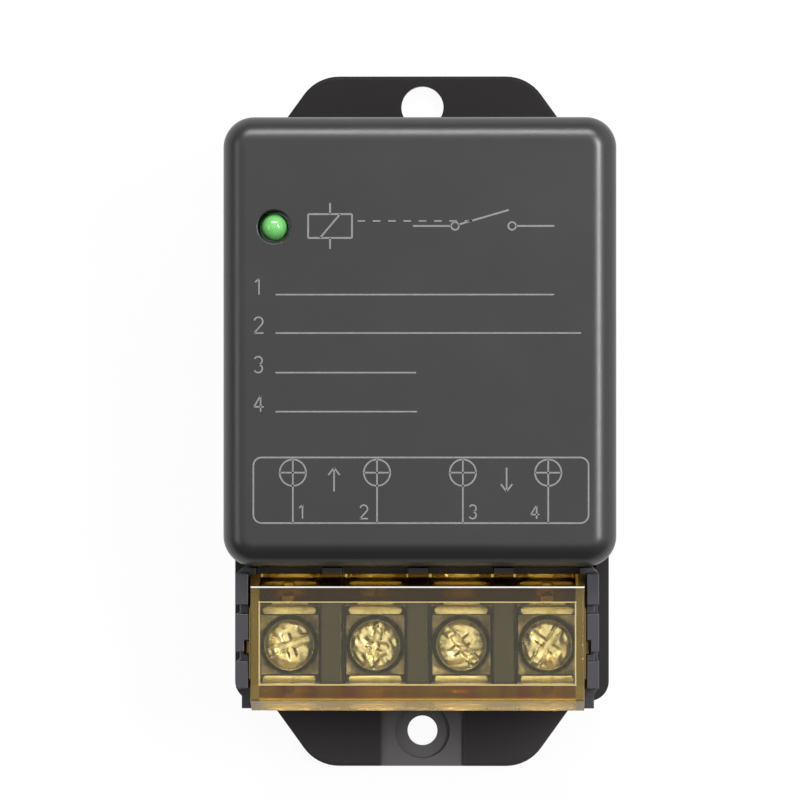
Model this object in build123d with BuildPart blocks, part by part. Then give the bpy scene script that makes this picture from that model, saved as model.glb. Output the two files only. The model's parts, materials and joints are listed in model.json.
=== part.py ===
from build123d import *
import os
from math import radians, tan

os.makedirs("parts", exist_ok=True)

# Smart relay module for mains wiring: a flanged base tray, a deep cover over the electronics,
# and a four-way barrier terminal block under a clear cover that clips on.
# Millimetres. +Z points out of the label face, +Y towards the lamp end, +X to the label's right.
# The origin is the middle of the back face, which is screwed against a wall or a box.

# Clearances shared by all pieces
overrun = 1.0  # how far a cut runs past the face it leaves
seat_gap = 0.05  # under a moving piece that rests on its neighbour
slide_gap = 0.1  # around a piece that slides or drops into place
free_gap = 0.3  # between pieces that stay apart
part_gap = 0.4  # between components on the board, and around the board

# Base tray
tray_floor = 2.0
tray_wall = 1.5
tray_corner = 2.25
tray_inner_corner = 0.75
rim_drop = 0.2  # the rim lies this far below the board's top
tongue_wall = 0.75
tongue_height = 1.6
standoff_height = 3.0
standoff_radius = 1.6
peg_radius = 0.9
peg_rise = 1.2
front_peg_inset = 2.1  # from the board's front edge
side_peg_inset = 2.6  # from the board's side edges
back_peg_x = 6.0
back_peg_inset = 2.1  # behind the relay
post_radius = 2.9

# Ears at both ends of the tray
front_ear = 7.6
back_ear = 6.3
ear_tip_inset = 9.1  # from the tray's sides to the ends of an ear's tip
ear_slant = 54.2  # degrees between an ear's side and its tip
ear_corner = 4.9
ear_edge = 0.4
lower_hole_radius = 1.7
lower_hole_inset = 4.0  # from the ear's tip
ring_radius = 3.1
ring_depth = 0.6
pad_width = 9.35
pad_depth = 0.5
upper_hole_radius = 2.4
upper_hole_inset = 3.5

# Top cover
cover_wall = 1.6
cover_corner = 3.45
cover_inner_corner = 1.85
cover_edge = 2.65
cover_inner_edge = 1.05
cover_draft = 0.3  # degrees
cover_side_lip = 0.55  # how far the cover stands out past the tray's sides
cover_back_lip = 0.55
boss_radius = 2.5
rib_wall = 1.2
lid_gap = 0.7  # between the relay and the cover's ceiling
lamp_hole_radius = 1.8

# Housing screws, driven from below through the tray into the cover's bosses
housing_screw_radius = 1.3
housing_screw_length = 8.0
housing_head_radius = 2.2
housing_head_height = 1.6
head_recess = 0.5
drive_width = 0.6
drive_length = 2.6
drive_depth = 0.8

# Circuit board
board_thickness = 1.6
board_corner = 1.0
lead_radius = 0.3
lead_stub = 1.4  # how far leads stand out under the board
blade_width = 2.4
blade_thickness = 0.8

# Relay, a sealed type in a case
relay_width = 27.4
relay_length = 32.3
relay_height = 20.1
relay_wall = 0.9
relay_edge = 0.8
relay_base_thickness = 2.0
yoke_width = 13.0
yoke_thickness = 1.5
yoke_toe = 4.5  # how far the yoke's foot runs past the coil's axis
pole_gap = 0.5
core_radius = 3.0
pole_radius = 4.5
pole_thickness = 1.0
rivet_radius = 1.75
bobbin_wall = 0.6
flange_radius = 7.6
flange_thickness = 0.8
coil_radius = 7.0
armature_width = 12.0
armature_length = 15.0
armature_thickness = 1.4
blade_spring_width = 8.0
blade_spring_thickness = 0.3
blade_spring_lap = 12.4  # how much of the blade lies on the armature
contact_inset = 5.1  # from the relay's front face to the contacts
contact_radius = 2.0
contact_thickness = 1.0
contact_gap = 1.0
shelf_width = 6.0
shelf_thickness = 0.8
shelf_length = 4.6
common_bar_length = 12.0
common_bar_width = 3.0
common_bar_shift = 3.0  # in front of the bobbin's flange

# Components on the board
film_width = 13.0
film_depth = 5.4
film_height = 11.0
film_pitch = 10.0
film_shift = 3.5
film_edge = 0.6
varistor_radius = 3.6
varistor_thickness = 3.0
varistor_lift = 0.8
varistor_pitch = 5.0
resistor_radius = 1.3
resistor_height = 7.0
resistor_pitch = 2.6
large_can_radius = 4.0
large_can_height = 12.5
large_can_pitch = 3.5
small_can_radius = 3.15
small_can_height = 11.0
small_can_pitch = 2.5
can_groove = 0.35
can_groove_height = 1.6
can_edge = 0.5
transformer_width = 10.2
core_depth = 4.8
core_yoke = 1.6
core_outer_leg = 1.3
core_centre_leg = 2.4
tube_wall = 0.4
reel_half_height = 4.4
reel_flange = 0.6
winding_inset = 0.3
rail_height = 1.6
transformer_pin_inset = 0.7  # from the core's ends
transformer_pin_pitch = 5.6
bridge_width = 4.8
bridge_depth = 4.0
bridge_height = 1.5
chip_width = 4.9
chip_depth = 3.9
chip_height = 1.45
chip_pitch = 1.27
chip_leg = 0.42
chip_leg_reach = 1.05
chip_leg_thickness = 0.25
transistor_width = 2.9
transistor_depth = 1.4
transistor_height = 1.0
diode_width = 4.3
diode_depth = 2.6
diode_height = 2.1
diode_tab = 0.35
diode_tab_width = 1.4

# Radio board, standing at the lamp end
radio_bay = 7.8
radio_inset = 4.2  # from the relay to the radio board's front
radio_width = 20.0
radio_height = 17.0
radio_thickness = 0.8
radio_lift = 0.5
shield_width = 12.0
shield_height = 12.0
shield_depth = 2.0
shield_wall = 0.2
shield_shift = 2.0
shield_lift = 3.6
radio_pin_pitch = 2.5
radio_pin_count = 6
radio_pin_rise = 2.4
radio_pin_side = 0.5

# Pairing switch and its button in the cover's left side
switch_depth = 3.6
switch_width = 6.0
switch_height = 7.0
switch_inset = 3.0  # from the board's edge to the switch's face
switch_setback = 1.6  # in front of the output capacitor
switch_pitch = 4.5
plunger_radius = 1.7
plunger_length = 1.9
plunger_reach = 1.0
button_radius = 1.5
button_recess = 0.4
button_flange_radius = 2.1
button_flange = 0.8
button_stem_radius = 1.0
button_travel = 0.5

# Status lamp
lamp_radius = 1.5
lamp_flange_radius = 1.9
lamp_flange = 1.0
lamp_body = 3.8  # from the flange's foot to where the dome starts
lamp_sink = 0.1  # the dome's tip below the cover's top
lamp_pitch = 2.54
lamp_lead = 0.5
lamp_inset = 3.3  # from the board's left edge
lamp_setback = 2.8  # in front of the relay's back face

# Terminal block
terminal_count = 4
divider = 2.2
end_wall = 2.1
end_upright = 1.35
end_rise = 3.6  # of the end uprights above the shoulders
block_depth = 15.6
block_shift = -0.3
block_inset = 1.1  # from the tray's sides to the block's ends, without the shift
block_lip = 0.2  # how far the block overhangs the tray's front
block_gap = 0.15  # in front of the cover
platform_height = 6.4
well_height = 7.0
back_wall = 1.4
back_wall_drop = 4.4
well_lead = 1.2
block_corner = 0.6
front_notch_width = 0.5
front_notch_length = 2.35
front_notch_lead = 0.85
crest_height = 2.4
groove_width = 1.0
groove_depth = 0.45
groove_spacing = 5.2
groove_shift = 1.13
upright_notch = 1.4  # how far the grooves' places are cut down through the end uprights
hub_radius = 2.2
hub_height = 1.6
tip_pocket_radius = 1.9
tip_pocket_floor = 1.0

# Contact plates, wire clamps and terminal screws
screw_row = 6.9  # from the block's front face back to the screws
contact_length = 8.6
plate_thickness = 1.0
tongue_root = 4.1
tongue_tip = 3.1
tongue_reach = 1.0
pin_thickness = 0.8
pin_width = 1.2
clamp_length = 8.5
clamp_thickness = 0.95
clamp_lip = 1.1
clamp_bend = 0.3
screw_radius = 1.5
screw_length = 7.0
screw_clearance = 0.06
clamp_hole_radius = 1.7
head_radius = 2.75
head_rim = 0.9
head_height = 2.2
head_chamfer = 0.2
cross_width = 0.95
cross_length = 3.3
slot_width = 0.8
slot_length = 4.9
recess_depth = 1.1
recess_turns = (20, 75, 130, 54)  # degrees, as the four screws were left

# Clear terminal cover
cap_shift = 0.43  # the cover's middle behind the screw row
cap_end_gap = 0.25  # between the cover's ends and the block's end uprights
cap_pad = 0.15
cap_pad_half = 3.9
cap_foot_half = 7.57
cap_flat_half = 6.3
cap_height = 4.0
cap_top = 1.15
cap_inner_foot_half = 6.45
cap_inner_top_half = 4.58
cap_end_wall = 0.95
cap_edge = 0.25
lug_radius = 0.7
lug_length = 2.2
nub_width = 1.4
nub_reach = 0.45
nub_shift = -0.47
nub_height = 2.6

# Plan of the module along X
board_half = (relay_width + transformer_width + 2 * part_gap) / 2
tray_inner_half = board_half + part_gap
tray_half = tray_inner_half + tray_wall
cover_half = tray_half + cover_side_lip
relay_x = board_half - relay_width / 2
supply_x = -board_half + part_gap + transformer_width / 2
relay_left = relay_x - relay_width / 2

# Plan of the module along Y, from the front ear's tip to the back ear's tip
filter_bay = film_depth + 2 * part_gap
cover_length = 2 * cover_wall + filter_bay + relay_length + radio_bay
tray_length = block_depth - block_lip + block_gap + cover_length - cover_back_lip
module_length = front_ear + tray_length + back_ear
front_tip = -module_length / 2
back_tip = module_length / 2
tray_front = front_tip + front_ear
tray_back = back_tip - back_ear
tray_middle = (tray_front + tray_back) / 2
block_front = tray_front - block_lip
block_back = block_front + block_depth
block_middle = (block_front + block_back) / 2
cover_front = block_back + block_gap
cover_back = cover_front + cover_length
cover_middle = (cover_front + cover_back) / 2
filter_y = cover_front + cover_wall + filter_bay / 2
relay_front = cover_front + cover_wall + filter_bay
relay_back = relay_front + relay_length
relay_y = (relay_front + relay_back) / 2
board_front = tray_front + tray_wall + part_gap
board_back = tray_back - tray_wall - part_gap
board_length = board_back - board_front
board_middle = (board_front + board_back) / 2

# Levels along Z
board_bottom = tray_floor + standoff_height
board_top = board_bottom + board_thickness
tray_rim = board_top - rim_drop
tongue_top = tray_rim + tongue_height
module_height = board_top + relay_height + lid_gap + cover_wall
ceiling = module_height - cover_wall
lead_tip = board_bottom - lead_stub
post_top = board_bottom - part_gap
head_seat = head_recess + housing_head_height

# Screw bosses in the cover's corners
boss_x = tray_inner_half - boss_radius - free_gap
front_boss_y = relay_front - boss_radius - free_gap
back_boss_y = tray_back - tray_wall - boss_radius - free_gap
boss_places = [(x, y) for x in (-boss_x, boss_x) for y in (front_boss_y, back_boss_y)]

# Pegs that carry the board
front_peg_x = board_half - side_peg_inset
front_peg_y = board_front + front_peg_inset
back_peg_y = relay_back + back_peg_inset
peg_places = [
    (-front_peg_x, front_peg_y),
    (front_peg_x, front_peg_y),
    (-back_peg_x, back_peg_y),
    (back_peg_x, back_peg_y),
]

# Components in the supply strip beside the relay: the transformer takes the room that the others leave
film_x = film_shift
varistor_x = film_x - film_width / 2 - part_gap - varistor_radius
resistor_x = relay_left - part_gap - resistor_radius
resistor_y = relay_front + part_gap + resistor_radius
large_can_y = resistor_y + large_can_radius + part_gap
lamp_x = -board_half + lamp_inset
lamp_y = relay_back - lamp_setback
small_can_x = relay_left - part_gap - small_can_radius
small_can_y = lamp_y + small_can_radius
switch_y = small_can_y - small_can_radius - switch_setback - switch_width / 2
transformer_front = large_can_y + large_can_radius + part_gap
transformer_back = switch_y - switch_width / 2 - part_gap
transformer_length = transformer_back - transformer_front
transformer_y = (transformer_front + transformer_back) / 2
bridge_y = large_can_y - bridge_depth
radio_y = relay_back + radio_inset + radio_thickness / 2
radio_pin_y = radio_y - radio_thickness / 2 - radio_pin_side / 2

# Terminals
block_half = tray_half - block_inset
terminal_pitch = (2 * (block_half - end_wall) + divider) / terminal_count
well_width = terminal_pitch - divider
well_half = well_width / 2
terminal_places = [
    block_shift + (place - (terminal_count - 1) / 2) * terminal_pitch
    for place in range(terminal_count)
]
divider_places = [x + terminal_pitch / 2 for x in terminal_places[:-1]]
screw_y = block_front + screw_row
platform = board_top + platform_height
shoulder = platform + well_height
contact_top = platform + plate_thickness
clamp_bottom = contact_top + seat_gap
clamp_top = clamp_bottom + clamp_thickness
head_bottom = clamp_top + seat_gap
pin_y = screw_y + contact_length / 2 + tongue_reach - pin_thickness / 2
cap_half_length = block_half - end_upright - cap_end_gap
cap_y = screw_y + cap_shift
cap_bottom = shoulder + seat_gap

# Relay mechanism
relay_floor = board_top + relay_base_thickness
relay_inner_back = relay_back - relay_wall - part_gap
yoke_back = relay_inner_back - free_gap
hinge_y = yoke_back - yoke_thickness
coil_y = hinge_y - flange_radius - part_gap
foot_top = relay_floor + yoke_thickness
armature_top = board_top + relay_height - relay_wall - contact_thickness - part_gap
armature_bottom = armature_top - armature_thickness
yoke_top = armature_bottom - seat_gap
pole_top = yoke_top - pole_gap
pole_bottom = pole_top - pole_thickness
bobbin_top = pole_bottom - slide_gap
contact_y = relay_front + contact_inset
moving_contact_bottom = armature_top - contact_thickness
fixed_contact_top = moving_contact_bottom - contact_gap
shelf_top = fixed_contact_top - contact_thickness + blade_spring_thickness
coil_pin_x = flange_radius - lead_radius - part_gap
coil_pins = [(relay_x + side * coil_pin_x, coil_y) for side in (-1, 1)]
shelf_y = contact_y - contact_radius - shelf_thickness / 2
fixed_pin = (relay_x, shelf_y)
common_y = coil_y - flange_radius - common_bar_shift
common_pin_x = common_bar_length / 2 - blade_width / 2
common_pins = [(relay_x + side * common_pin_x, common_y) for side in (-1, 1)]

# Where leads pass through the board
film_leads = [(film_x + side * film_pitch / 2, filter_y) for side in (-1, 1)]
varistor_leads = [(varistor_x + side * varistor_pitch / 2, filter_y) for side in (-1, 1)]
resistor_leads = [(resistor_x, resistor_y), (resistor_x, resistor_y - resistor_pitch)]
large_can_leads = [(supply_x + side * large_can_pitch / 2, large_can_y) for side in (-1, 1)]
small_can_leads = [(small_can_x, small_can_y + side * small_can_pitch / 2) for side in (-1, 1)]
transformer_pin_y = transformer_length / 2 - transformer_pin_inset
transformer_leads = [
    (supply_x + side * transformer_pin_pitch / 2, transformer_y + end * transformer_pin_y)
    for side in (-1, 1)
    for end in (-1, 1)
]
switch_face = -board_half + switch_inset
switch_x = switch_face + switch_depth / 2
switch_leads = [(switch_x, switch_y + side * switch_pitch / 2) for side in (-1, 1)]
lamp_leads = [(lamp_x + side * lamp_pitch / 2, lamp_y) for side in (-1, 1)]
radio_leads = [
    ((place - (radio_pin_count - 1) / 2) * radio_pin_pitch, radio_pin_y)
    for place in range(radio_pin_count)
]
round_leads = (
    film_leads
    + varistor_leads
    + resistor_leads
    + large_can_leads
    + small_can_leads
    + transformer_leads
    + switch_leads
    + lamp_leads
    + radio_leads
    + coil_pins
)
blade_leads = [fixed_pin] + common_pins
contact_pins = [(x, pin_y) for x in terminal_places]

on_floor = (Align.CENTER, Align.CENTER, Align.MIN)


def ear_outline(tip_y, root_y):
    """Corners of an ear: a straight tip whose sides spread at the slant angle down to the tray."""
    spread = abs(tip_y - root_y) / tan(radians(ear_slant))
    tip = tray_half - ear_tip_inset
    return [(-tip, tip_y), (tip, tip_y), (tip + spread, root_y), (-tip - spread, root_y)]


def leads(places, top):
    """Round component leads from their tips below the board up to the given level."""
    with Locations(*[(x, y, lead_tip) for x, y in places]):
        Cylinder(lead_radius, top - lead_tip, align=on_floor)


def blade_pins(places, top):
    """Flat load pins of the relay, from below the board up to the given level."""
    with Locations(*[(x, y, lead_tip) for x, y in places]):
        Box(blade_width, blade_thickness, top - lead_tip, align=on_floor)


# Base tray: floor and ears from one outline, then the wall, the tongue and what stands inside
with BuildPart() as base_tray:
    with BuildSketch() as tray_plan:
        with Locations((0, tray_middle)):
            RectangleRounded(2 * tray_half, tray_length, tray_corner)
        for tip_y, root_y in ((front_tip, tray_front + tray_wall), (back_tip, tray_back - tray_wall)):
            with BuildLine():
                Polyline(*ear_outline(tip_y, root_y), close=True)
            make_face()
        fillet(tray_plan.vertices().group_by(Axis.Y)[0], ear_corner)
        fillet(tray_plan.vertices().group_by(Axis.Y)[-1], ear_corner)
    extrude(amount=tray_floor)
    fillet(base_tray.faces().sort_by(Axis.Z)[-1].outer_wire().edges(), ear_edge)
    with BuildSketch() as wall_plan:
        with Locations((0, tray_middle)):
            RectangleRounded(2 * tray_half, tray_length, tray_corner)
            RectangleRounded(
                2 * tray_inner_half,
                tray_length - 2 * tray_wall,
                tray_inner_corner,
                mode=Mode.SUBTRACT,
            )
    extrude(amount=tray_rim)
    # The tongue stands on the inner half of the rim where the cover fits over it
    tongue_front = cover_front + cover_wall + part_gap
    with BuildSketch(Plane.XY.offset(tray_rim)):
        with Locations((0, tray_middle)):
            RectangleRounded(
                2 * (tray_inner_half + tongue_wall),
                tray_length - 2 * (tray_wall - tongue_wall),
                tray_inner_corner + tongue_wall,
            )
            RectangleRounded(
                2 * tray_inner_half,
                tray_length - 2 * tray_wall,
                tray_inner_corner,
                mode=Mode.SUBTRACT,
            )
        with Locations((0, (tongue_front + tray_back) / 2)):
            Rectangle(2 * tray_half, tray_back - tongue_front, mode=Mode.INTERSECT)
    extrude(amount=tongue_height)
    with Locations(*[(x, y, 0) for x, y in boss_places]):
        Cylinder(post_radius, post_top, align=on_floor)
    with Locations(*[(x, y, 0) for x, y in peg_places]):
        Cylinder(standoff_radius, board_bottom, align=on_floor)
        Cylinder(peg_radius, board_bottom + peg_rise, align=on_floor)
    for x, y in boss_places:
        with Locations(Plane((x, y, 0), z_dir=(0, 0, -1)).location):
            CounterBoreHole(
                housing_screw_radius + slide_gap,
                housing_head_radius + slide_gap,
                head_seat,
                post_top + overrun,
            )
    # The front ear carries a shallow pad with a ring around its screw hole
    with BuildSketch(Plane.XY.offset(tray_floor)):
        with Locations((0, (front_tip - overrun + tray_front) / 2)):
            Rectangle(pad_width, front_ear + overrun)
    extrude(amount=-pad_depth, mode=Mode.SUBTRACT)
    with Locations((0, front_tip + lower_hole_inset, tray_floor - pad_depth)):
        CounterBoreHole(lower_hole_radius, ring_radius, ring_depth, tray_floor)
    with Locations((0, back_tip - upper_hole_inset, tray_floor)):
        Hole(upper_hole_radius, tray_floor + overrun)
base_tray.part.label = "base_tray"
export_step(base_tray.part, "parts/base_tray.step")

# Top cover: a drafted, rounded block hollowed from below, with bosses hanging from its ceiling
with BuildPart() as top_cover:
    with BuildSketch(Plane.XY.offset(tray_rim)):
        with Locations((0, cover_middle)):
            RectangleRounded(2 * cover_half, cover_length, cover_corner)
    extrude(amount=module_height - tray_rim, taper=cover_draft)
    fillet(top_cover.faces().sort_by(Axis.Z)[-1].edges(), cover_edge)
    with BuildSketch(Plane.XY.offset(tray_rim)):
        with Locations((0, cover_middle)):
            RectangleRounded(
                2 * (cover_half - cover_wall),
                cover_length - 2 * cover_wall,
                cover_inner_corner,
            )
    extrude(amount=ceiling - tray_rim, mode=Mode.SUBTRACT)
    fillet(top_cover.faces().filter_by_position(Axis.Z, ceiling, ceiling).edges(), cover_inner_edge)
    # Rebate for the tray's tongue along the sides and the back
    rebate_half = tray_inner_half + tongue_wall + slide_gap
    rebate_back = tray_back - tray_wall + tongue_wall + slide_gap
    rebate_front = cover_front + cover_wall
    with BuildSketch(Plane.XY.offset(tray_rim - overrun)):
        with Locations((0, (rebate_front + rebate_back) / 2)):
            Rectangle(2 * rebate_half, rebate_back - rebate_front)
    extrude(amount=overrun + tongue_height + slide_gap, mode=Mode.SUBTRACT)
    # The front wall stops just above the board, which passes under it
    with BuildSketch(Plane.XY.offset(tray_rim - overrun)):
        with Locations((0, cover_front + cover_wall / 2)):
            Rectangle(2 * tray_inner_half, cover_wall + 2 * overrun)
    extrude(amount=overrun + rim_drop + free_gap, mode=Mode.SUBTRACT)
    with Locations(*[(x, y, post_top) for x, y in boss_places]):
        Cylinder(boss_radius, ceiling + cover_wall / 2 - post_top, align=on_floor)
    rib_bottom = tongue_top + free_gap
    rib_reach = cover_half - cover_wall / 2 - boss_x
    for x, y in boss_places:
        side = 1 if x > 0 else -1
        with Locations((x + side * rib_reach / 2, y, rib_bottom)):
            Box(rib_reach, rib_wall, module_height - cover_edge - rib_bottom, align=on_floor)
    for x, y in boss_places:
        with Locations(Plane((x, y, post_top), z_dir=(0, 0, -1)).location):
            Hole(housing_screw_radius + seat_gap, housing_screw_length + free_gap)
    with Locations((lamp_x, lamp_y, module_height)):
        Hole(lamp_hole_radius, cover_wall + overrun)
    button_z = board_top + switch_height / 2 + free_gap
    with Locations(Plane((-cover_half, switch_y, button_z), z_dir=(-1, 0, 0)).location):
        Hole(button_radius + slide_gap, cover_wall + overrun)
top_cover.part.label = "top_cover"
export_step(top_cover.part, "parts/top_cover.step")

# Housing screws: pan heads in the tray's counterbores
with BuildPart() as housing_screws:
    with Locations(*[(x, y, head_recess) for x, y in boss_places]):
        Cylinder(housing_head_radius, housing_head_height, align=on_floor)
    chamfer(housing_screws.edges().filter_by(GeomType.CIRCLE).group_by(Axis.Z)[0], head_chamfer)
    with Locations(*[(x, y, head_seat) for x, y in boss_places]):
        Cylinder(housing_screw_radius, housing_screw_length, align=on_floor)
    chamfer(housing_screws.edges().filter_by(GeomType.CIRCLE).group_by(Axis.Z)[-1], head_chamfer)
    with BuildSketch(Plane.XY.offset(head_recess)):
        for turn in (0, 90):
            with Locations(*boss_places):
                Rectangle(drive_length, drive_width, rotation=turn)
    extrude(amount=drive_depth, mode=Mode.SUBTRACT)
housing_screws.part.label = "housing_screws"
export_step(housing_screws.part, "parts/housing_screws.step")

# Circuit board, notched around the bosses and drilled for pegs, leads and pins
with BuildPart() as circuit_board:
    with BuildSketch(Plane.XY.offset(board_bottom)) as board_plan:
        with Locations((0, board_middle)):
            RectangleRounded(2 * board_half, board_length, board_corner)
        notch = boss_radius + part_gap
        with Locations(*boss_places):
            Circle(notch, mode=Mode.SUBTRACT)
        edge_reach = board_half - boss_x + overrun
        corner_reach = board_back - back_boss_y + overrun
        corner_x = boss_x + (edge_reach - notch) / 2
        corner_y = back_boss_y + (corner_reach - notch) / 2
        for side in (-1, 1):
            with Locations((side * (boss_x + edge_reach / 2), front_boss_y)):
                Rectangle(edge_reach, 2 * notch, mode=Mode.SUBTRACT)
            with Locations((side * corner_x, corner_y)):
                Rectangle(edge_reach + notch, corner_reach + notch, mode=Mode.SUBTRACT)
        with Locations(*peg_places):
            Circle(peg_radius + slide_gap, mode=Mode.SUBTRACT)
        with Locations(*round_leads):
            Circle(lead_radius + slide_gap, mode=Mode.SUBTRACT)
        with Locations(*blade_leads):
            Rectangle(blade_width + 2 * slide_gap, blade_thickness + 2 * slide_gap, mode=Mode.SUBTRACT)
        with Locations(*contact_pins):
            Rectangle(pin_width + 2 * slide_gap, pin_thickness + 2 * slide_gap, mode=Mode.SUBTRACT)
    extrude(amount=board_thickness)
circuit_board.part.label = "circuit_board"
export_step(circuit_board.part, "parts/circuit_board.step")

# Terminal block: one moulding with four wells, open to the front and above
with BuildPart() as terminal_block:
    with BuildSketch(Plane.XY.offset(board_top)) as block_plan:
        with Locations((block_shift, block_middle)):
            Rectangle(2 * block_half, block_depth)
        chamfer(block_plan.vertices().group_by(Axis.Y)[-1], block_corner)
        notch_end = block_front + front_notch_length
        for side in (-1, 1):
            end_x = block_shift + side * block_half
            notch_x = end_x - side * front_notch_width
            with BuildLine():
                Polyline(
                    (notch_x, block_front - overrun),
                    (notch_x, notch_end - front_notch_lead),
                    (end_x, notch_end),
                    (end_x + side * overrun, notch_end),
                    (end_x + side * overrun, block_front - overrun),
                    close=True,
                )
            make_face(mode=Mode.SUBTRACT)
    extrude(amount=shoulder - board_top)
    back_step = shoulder - back_wall_drop
    for x in terminal_places:
        with BuildSketch(Plane.YZ.offset(x - well_half)):
            with BuildLine():
                Polyline(
                    (block_front - overrun, shoulder + overrun),
                    (block_front - overrun, platform - well_lead),
                    (block_front, platform - well_lead),
                    (block_front + well_lead, platform),
                    (block_back - back_wall, platform),
                    (block_back - back_wall, back_step),
                    (block_back + overrun, back_step),
                    (block_back + overrun, shoulder + overrun),
                    close=True,
                )
            make_face()
        extrude(amount=well_width, mode=Mode.SUBTRACT)
    # Crests of the dividers reach up between the skirts of the clear cover
    crest_foot = cap_inner_foot_half - free_gap
    crest_lean = crest_height * (cap_inner_foot_half - cap_inner_top_half) / (cap_height - cap_top)
    for x in divider_places:
        with BuildSketch(Plane.YZ.offset(x - divider / 2)):
            with BuildLine():
                Polyline(
                    (cap_y - crest_foot, shoulder),
                    (cap_y - crest_foot + crest_lean, shoulder + crest_height),
                    (cap_y + crest_foot - crest_lean, shoulder + crest_height),
                    (cap_y + crest_foot, shoulder),
                    close=True,
                )
            make_face()
        extrude(amount=divider)
    # End uprights, with two grooves outside and a guide for the cover's nub inside
    upright_back = block_back - block_corner
    upright_length = upright_back - notch_end
    upright_x = block_half - end_upright / 2
    upright_y = (notch_end + upright_back) / 2
    with BuildSketch(Plane.XY.offset(shoulder)):
        with Locations((block_shift - upright_x, upright_y), (block_shift + upright_x, upright_y)):
            Rectangle(end_upright, upright_length)
    extrude(amount=end_rise)
    end_top = shoulder + end_rise
    groove_y = cap_y + groove_shift
    with BuildSketch(Plane.XY.offset(end_top - upright_notch)):
        with Locations((block_shift, groove_y)):
            with GridLocations(2 * upright_x, groove_spacing, 2, 2):
                Rectangle(end_upright + 2 * slide_gap, groove_width)
    extrude(amount=upright_notch + overrun, mode=Mode.SUBTRACT)
    with BuildSketch(Plane.XY.offset(platform)):
        for side in (-1, 1):
            for step in (-1, 1):
                with Locations((block_shift + side * block_half, groove_y + step * groove_spacing / 2)):
                    Rectangle(2 * groove_depth, groove_width)
    extrude(amount=end_top - platform + overrun, mode=Mode.SUBTRACT)
    guide_half = block_half - end_upright
    with BuildSketch(Plane.XY.offset(shoulder)):
        for side in (-1, 1):
            with Locations((block_shift + side * guide_half, cap_y + nub_shift)):
                Rectangle(2 * nub_reach, nub_width + 2 * slide_gap)
    extrude(amount=end_rise + overrun, mode=Mode.SUBTRACT)
    # Pockets for the contacts' hubs, for the screws' tips and for the pins down to the board
    with Locations(*[(x, screw_y, platform) for x in terminal_places]):
        CounterBoreHole(
            tip_pocket_radius,
            hub_radius + slide_gap,
            hub_height + slide_gap,
            platform_height - tip_pocket_floor,
        )
    with BuildSketch(Plane.XY.offset(board_top - overrun)):
        with Locations(*contact_pins):
            Rectangle(pin_width + 2 * slide_gap, pin_thickness + 2 * slide_gap)
    extrude(amount=platform_height + overrun, mode=Mode.SUBTRACT)
terminal_block.part.label = "terminal_block"
export_step(terminal_block.part, "parts/terminal_block.step")

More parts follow.
